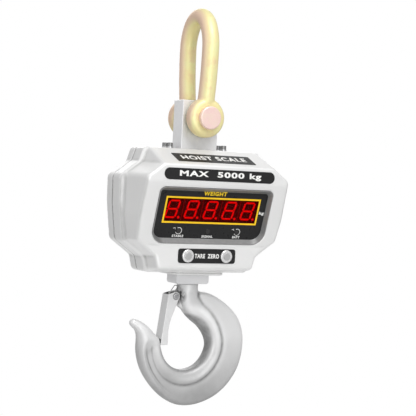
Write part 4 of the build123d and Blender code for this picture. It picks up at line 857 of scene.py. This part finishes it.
def spring_path(side):
    """One half of the wire: from its middle to a coil, round it, and down the latch."""
    start = tangent_angle(HOLDING_END)
    end = start + tau + (leave_angle() - start) % tau
    path = [
        (pivot.x + HOLDING_END[0], 0, pivot.z + HOLDING_END[1]),
        (pivot.x + HOLDING_END[0], side * (COIL_START_Y - CORNER), pivot.z + HOLDING_END[1]),
    ]
    touch = Vector((cos(start), sin(start))) * COIL_RADIUS
    down = (touch - Vector(HOLDING_END)).normalized()
    for step in range(1, 7):
        turn = radians(15 * step)
        drop = CORNER * (1 - cos(turn))
        path.append(
            (
                pivot.x + HOLDING_END[0] + down.x * drop,
                side * (COIL_START_Y - CORNER + CORNER * sin(turn)),
                pivot.z + HOLDING_END[1] + down.y * drop,
            )
        )
    for step in range(COIL_STEPS + 1):
        share = step / COIL_STEPS
        angle = start + (end - start) * share
        path.append(
            (
                pivot.x + COIL_RADIUS * cos(angle),
                side * (COIL_START_Y + (COIL_END_Y - COIL_START_Y) * share),
                pivot.z + COIL_RADIUS * sin(angle),
            )
        )
    path.append((pivot.x + CLOSING_END[0], side * COIL_END_Y, pivot.z + CLOSING_END[1]))
    return path


def leave_angle():
    """Angle on the coil at which the closing leg leaves it."""
    reach = hypot(*CLOSING_END)
    return atan2(CLOSING_END[1], CLOSING_END[0]) - acos(COIL_RADIUS / reach)


wire_path = spring_path(-1)[::-1] + spring_path(1)[1:]
wire = made_solid(round_line("spring_wire", wire_path, SPRING_WIRE, 4))
weld(wire)
spring = new_piece("spring_wire", wire, "swivel_hook", "dark_steel")
spring.parent = None  # the wire is left without a parent
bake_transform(spring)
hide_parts("latch_spring")

# ---------------------------------------------------------------- printing

LINE_LIFT = 0.02  # of a line's middle above its plate, in millimetres
LETTER_LIFT = 0.05  # the same for lettering
STROKE_GROWTH = 0.035  # thickens the letters, as a share of the type size
LETTER_EXTRUDE = 0.01  # half the lettering's depth before it is scaled
LETTER_DEPTH = 0.04  # millimetres
LINE_FLATNESS = 0.15


class Sheet:
    """A printed surface: a place on it is given in millimetres from its middle.

    Its normal leans down, up or not at all, as the box of its CAD node shows.
    """

    def __init__(self, node, body, facing):
        low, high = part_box(node)
        size = high - low
        if facing == "down":
            lean = atan2(size.y, size.z)
            self.normal = Vector((0, -cos(lean), -sin(lean)))
        elif facing == "up":
            lean = atan2(size.z, size.y)
            self.normal = Vector((0, -sin(lean), cos(lean)))
        else:
            self.normal = Vector((0, -1, 0))
        self.x = Vector((1, 0, 0))
        self.y = self.normal.cross(self.x)
        self.middle = (low + high) / 2
        if facing == "front":
            self.middle.y = low.y
        self.body = body

    def place(self, x, y, lift):
        origin = self.middle + (self.x * x + self.y * y + self.normal * lift) * MM
        turn = Matrix((self.x, self.y, self.normal)).transposed().to_4x4()
        return Matrix.Translation(origin) @ turn

    def words(self, name, text, x, y, width, height, material):
        """Lettering stretched to a width and height, with its middle at x, y."""
        curve = bpy.data.curves.new(name, "FONT")
        curve.body = text
        curve.align_x = "CENTER"
        curve.resolution_u = 5
        curve.offset = STROKE_GROWTH
        curve.space_character = 1.15
        curve.extrude = LETTER_EXTRUDE
        mesh = made_solid(curve)
        spots = np.array([vertex.co for vertex in mesh.vertices])
        low, high = spots.min(0), spots.max(0)
        scale_x = width * MM / (high[0] - low[0])
        scale_y = height * MM / (high[1] - low[1])
        fit = Matrix.Diagonal((scale_x, scale_y, LETTER_DEPTH * MM / (2 * LETTER_EXTRUDE), 1))
        centre = Matrix.Translation((-(low[0] + high[0]) / 2, -(low[1] + high[1]) / 2, 0))
        mesh.transform(self.place(x, y, LETTER_LIFT) @ fit @ centre)
        weld(mesh)
        new_piece(name, mesh, self.body, material)

    def line(self, name, points, radius, material, slot="label_black"):
        """A thin printed line through points."""
        flat = Matrix.Diagonal((1, 1, LINE_FLATNESS, 1))
        mesh = made_solid(round_line(name, [(x, y, 0) for x, y in points], radius, 2))
        mesh.transform(self.place(0, 0, LINE_LIFT) @ flat)
        weld(mesh)
        new_piece(name, mesh, self.body, material)


panel_sheet = Sheet("display_frame", "scale", "down")
title_sheet = Sheet("title_label", "scale", "up")
capacity_sheet = Sheet("capacity_label", "scale", "front")
button_sheet = Sheet("button_plate", "scale", "front")
TITLE_RISE = 0.25  # from the middle of the leaning plate to its face, in millimetres
title_sheet.middle += title_sheet.normal * TITLE_RISE * MM

title_sheet.words("title_words", "HOIST SCALE", 0, 0, 106, 14, "print_white")
capacity_sheet.words("capacity_words", "MAX  5000 kg", 0.5, 0, 134, 10.5, "print_white")
panel_sheet.words("panel_heading", "WEIGHT", 0, 26.2, 38, 6.2, "print_yellow")
panel_sheet.words("unit_words", "kg", 83.6, -1.6, 8.5, 6.0, "print_white")
button_sheet.words("tare_words", "TARE", -11.8, 0, 17, 6.4, "print_white")
button_sheet.words("zero_words", "ZERO", 10.6, 0, 19, 6.4, "print_white")

# The lamps' captions and rings, in millimetres on the panel.
LAMP_RADIUS = 3.9
RING_RADIUS = 4.9
LINE_RADIUS = 0.42
LIGHT_ROW = -32.0
CAPTION_DROP = 8.0
CAPTION_HEIGHT = 3.6
LETTER_WIDTH = 3.1
MARK = [(-9.5, 3.6), (-6.8, 4.6), (-5.6, 2.2)]  # the bar beside a ring

lights_low, lights_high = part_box("status_lights")
left_x = lights_low.x / MM + LAMP_RADIUS
middle_x = (lights_low.x + lights_high.x) / 2 / MM
right_x = lights_high.x / MM - LAMP_RADIUS
for name, text, x in (
    ("stable", "STABLE", left_x),
    ("signal", "SIGNAL", middle_x),
    ("battery_low", "BATT", right_x),
):
    width = len(text) * LETTER_WIDTH
    row = LIGHT_ROW - CAPTION_DROP
    panel_sheet.words(name + "_words", text, x, row, width, CAPTION_HEIGHT, "print_white")
for name, x in (("stable", left_x), ("battery_low", right_x)):
    ring = [
        (x + RING_RADIUS * cos(radians(a)), LIGHT_ROW + RING_RADIUS * sin(radians(a)))
        for a in range(-150, 121, 10)
    ]
    panel_sheet.line(name + "_ring", ring, LINE_RADIUS, "print_white")
    mark = [(x + dx, LIGHT_ROW + dy) for dx, dy in MARK]
    panel_sheet.line(name + "_mark", mark, LINE_RADIUS, "print_white")

# The lit edges between the five digit modules.
MODULE_COUNT = 5
MODULE_GAP = 0.0004  # metres
EDGE_REACH = 16.5
EDGE_RADIUS = 0.3
modules_low, modules_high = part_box("digit_modules")
pitch = (modules_high.x - modules_low.x + MODULE_GAP) / MODULE_COUNT / MM
module_sheet = Sheet("digit_segments", "scale", "down")
for index in range(MODULE_COUNT - 1):
    x = (index - (MODULE_COUNT - 2) / 2) * pitch - module_sheet.middle.x / MM
    edge = [(x, -EDGE_REACH), (x, EDGE_REACH)]
    module_sheet.line(f"module_edge_{index + 1}", edge, EDGE_RADIUS, "module_edge", "led_red")

# ---------------------------------------------------------------- studio

add_camera()
add_world()
add_floor()
add_softbox("key", (0.0, -2.1, 2.0), (0, 0, -0.3), 1.6, 1.4, 60)
add_softbox("fill", (-0.7, -2.7, -0.2), (0, 0, -0.35), 1.4, 1.4, 20, 0.25)
add_softbox("side", (-2.4, -0.3, 0.5), (0, 0, -0.3), 1.4, 2.2, 9, 0.3)
add_softbox("back", (0.9, 2.6, 0.5), (0, 0, -0.25), 2.0, 2.0, 26, 0.3)
scene.view_settings.view_transform = "Standard"
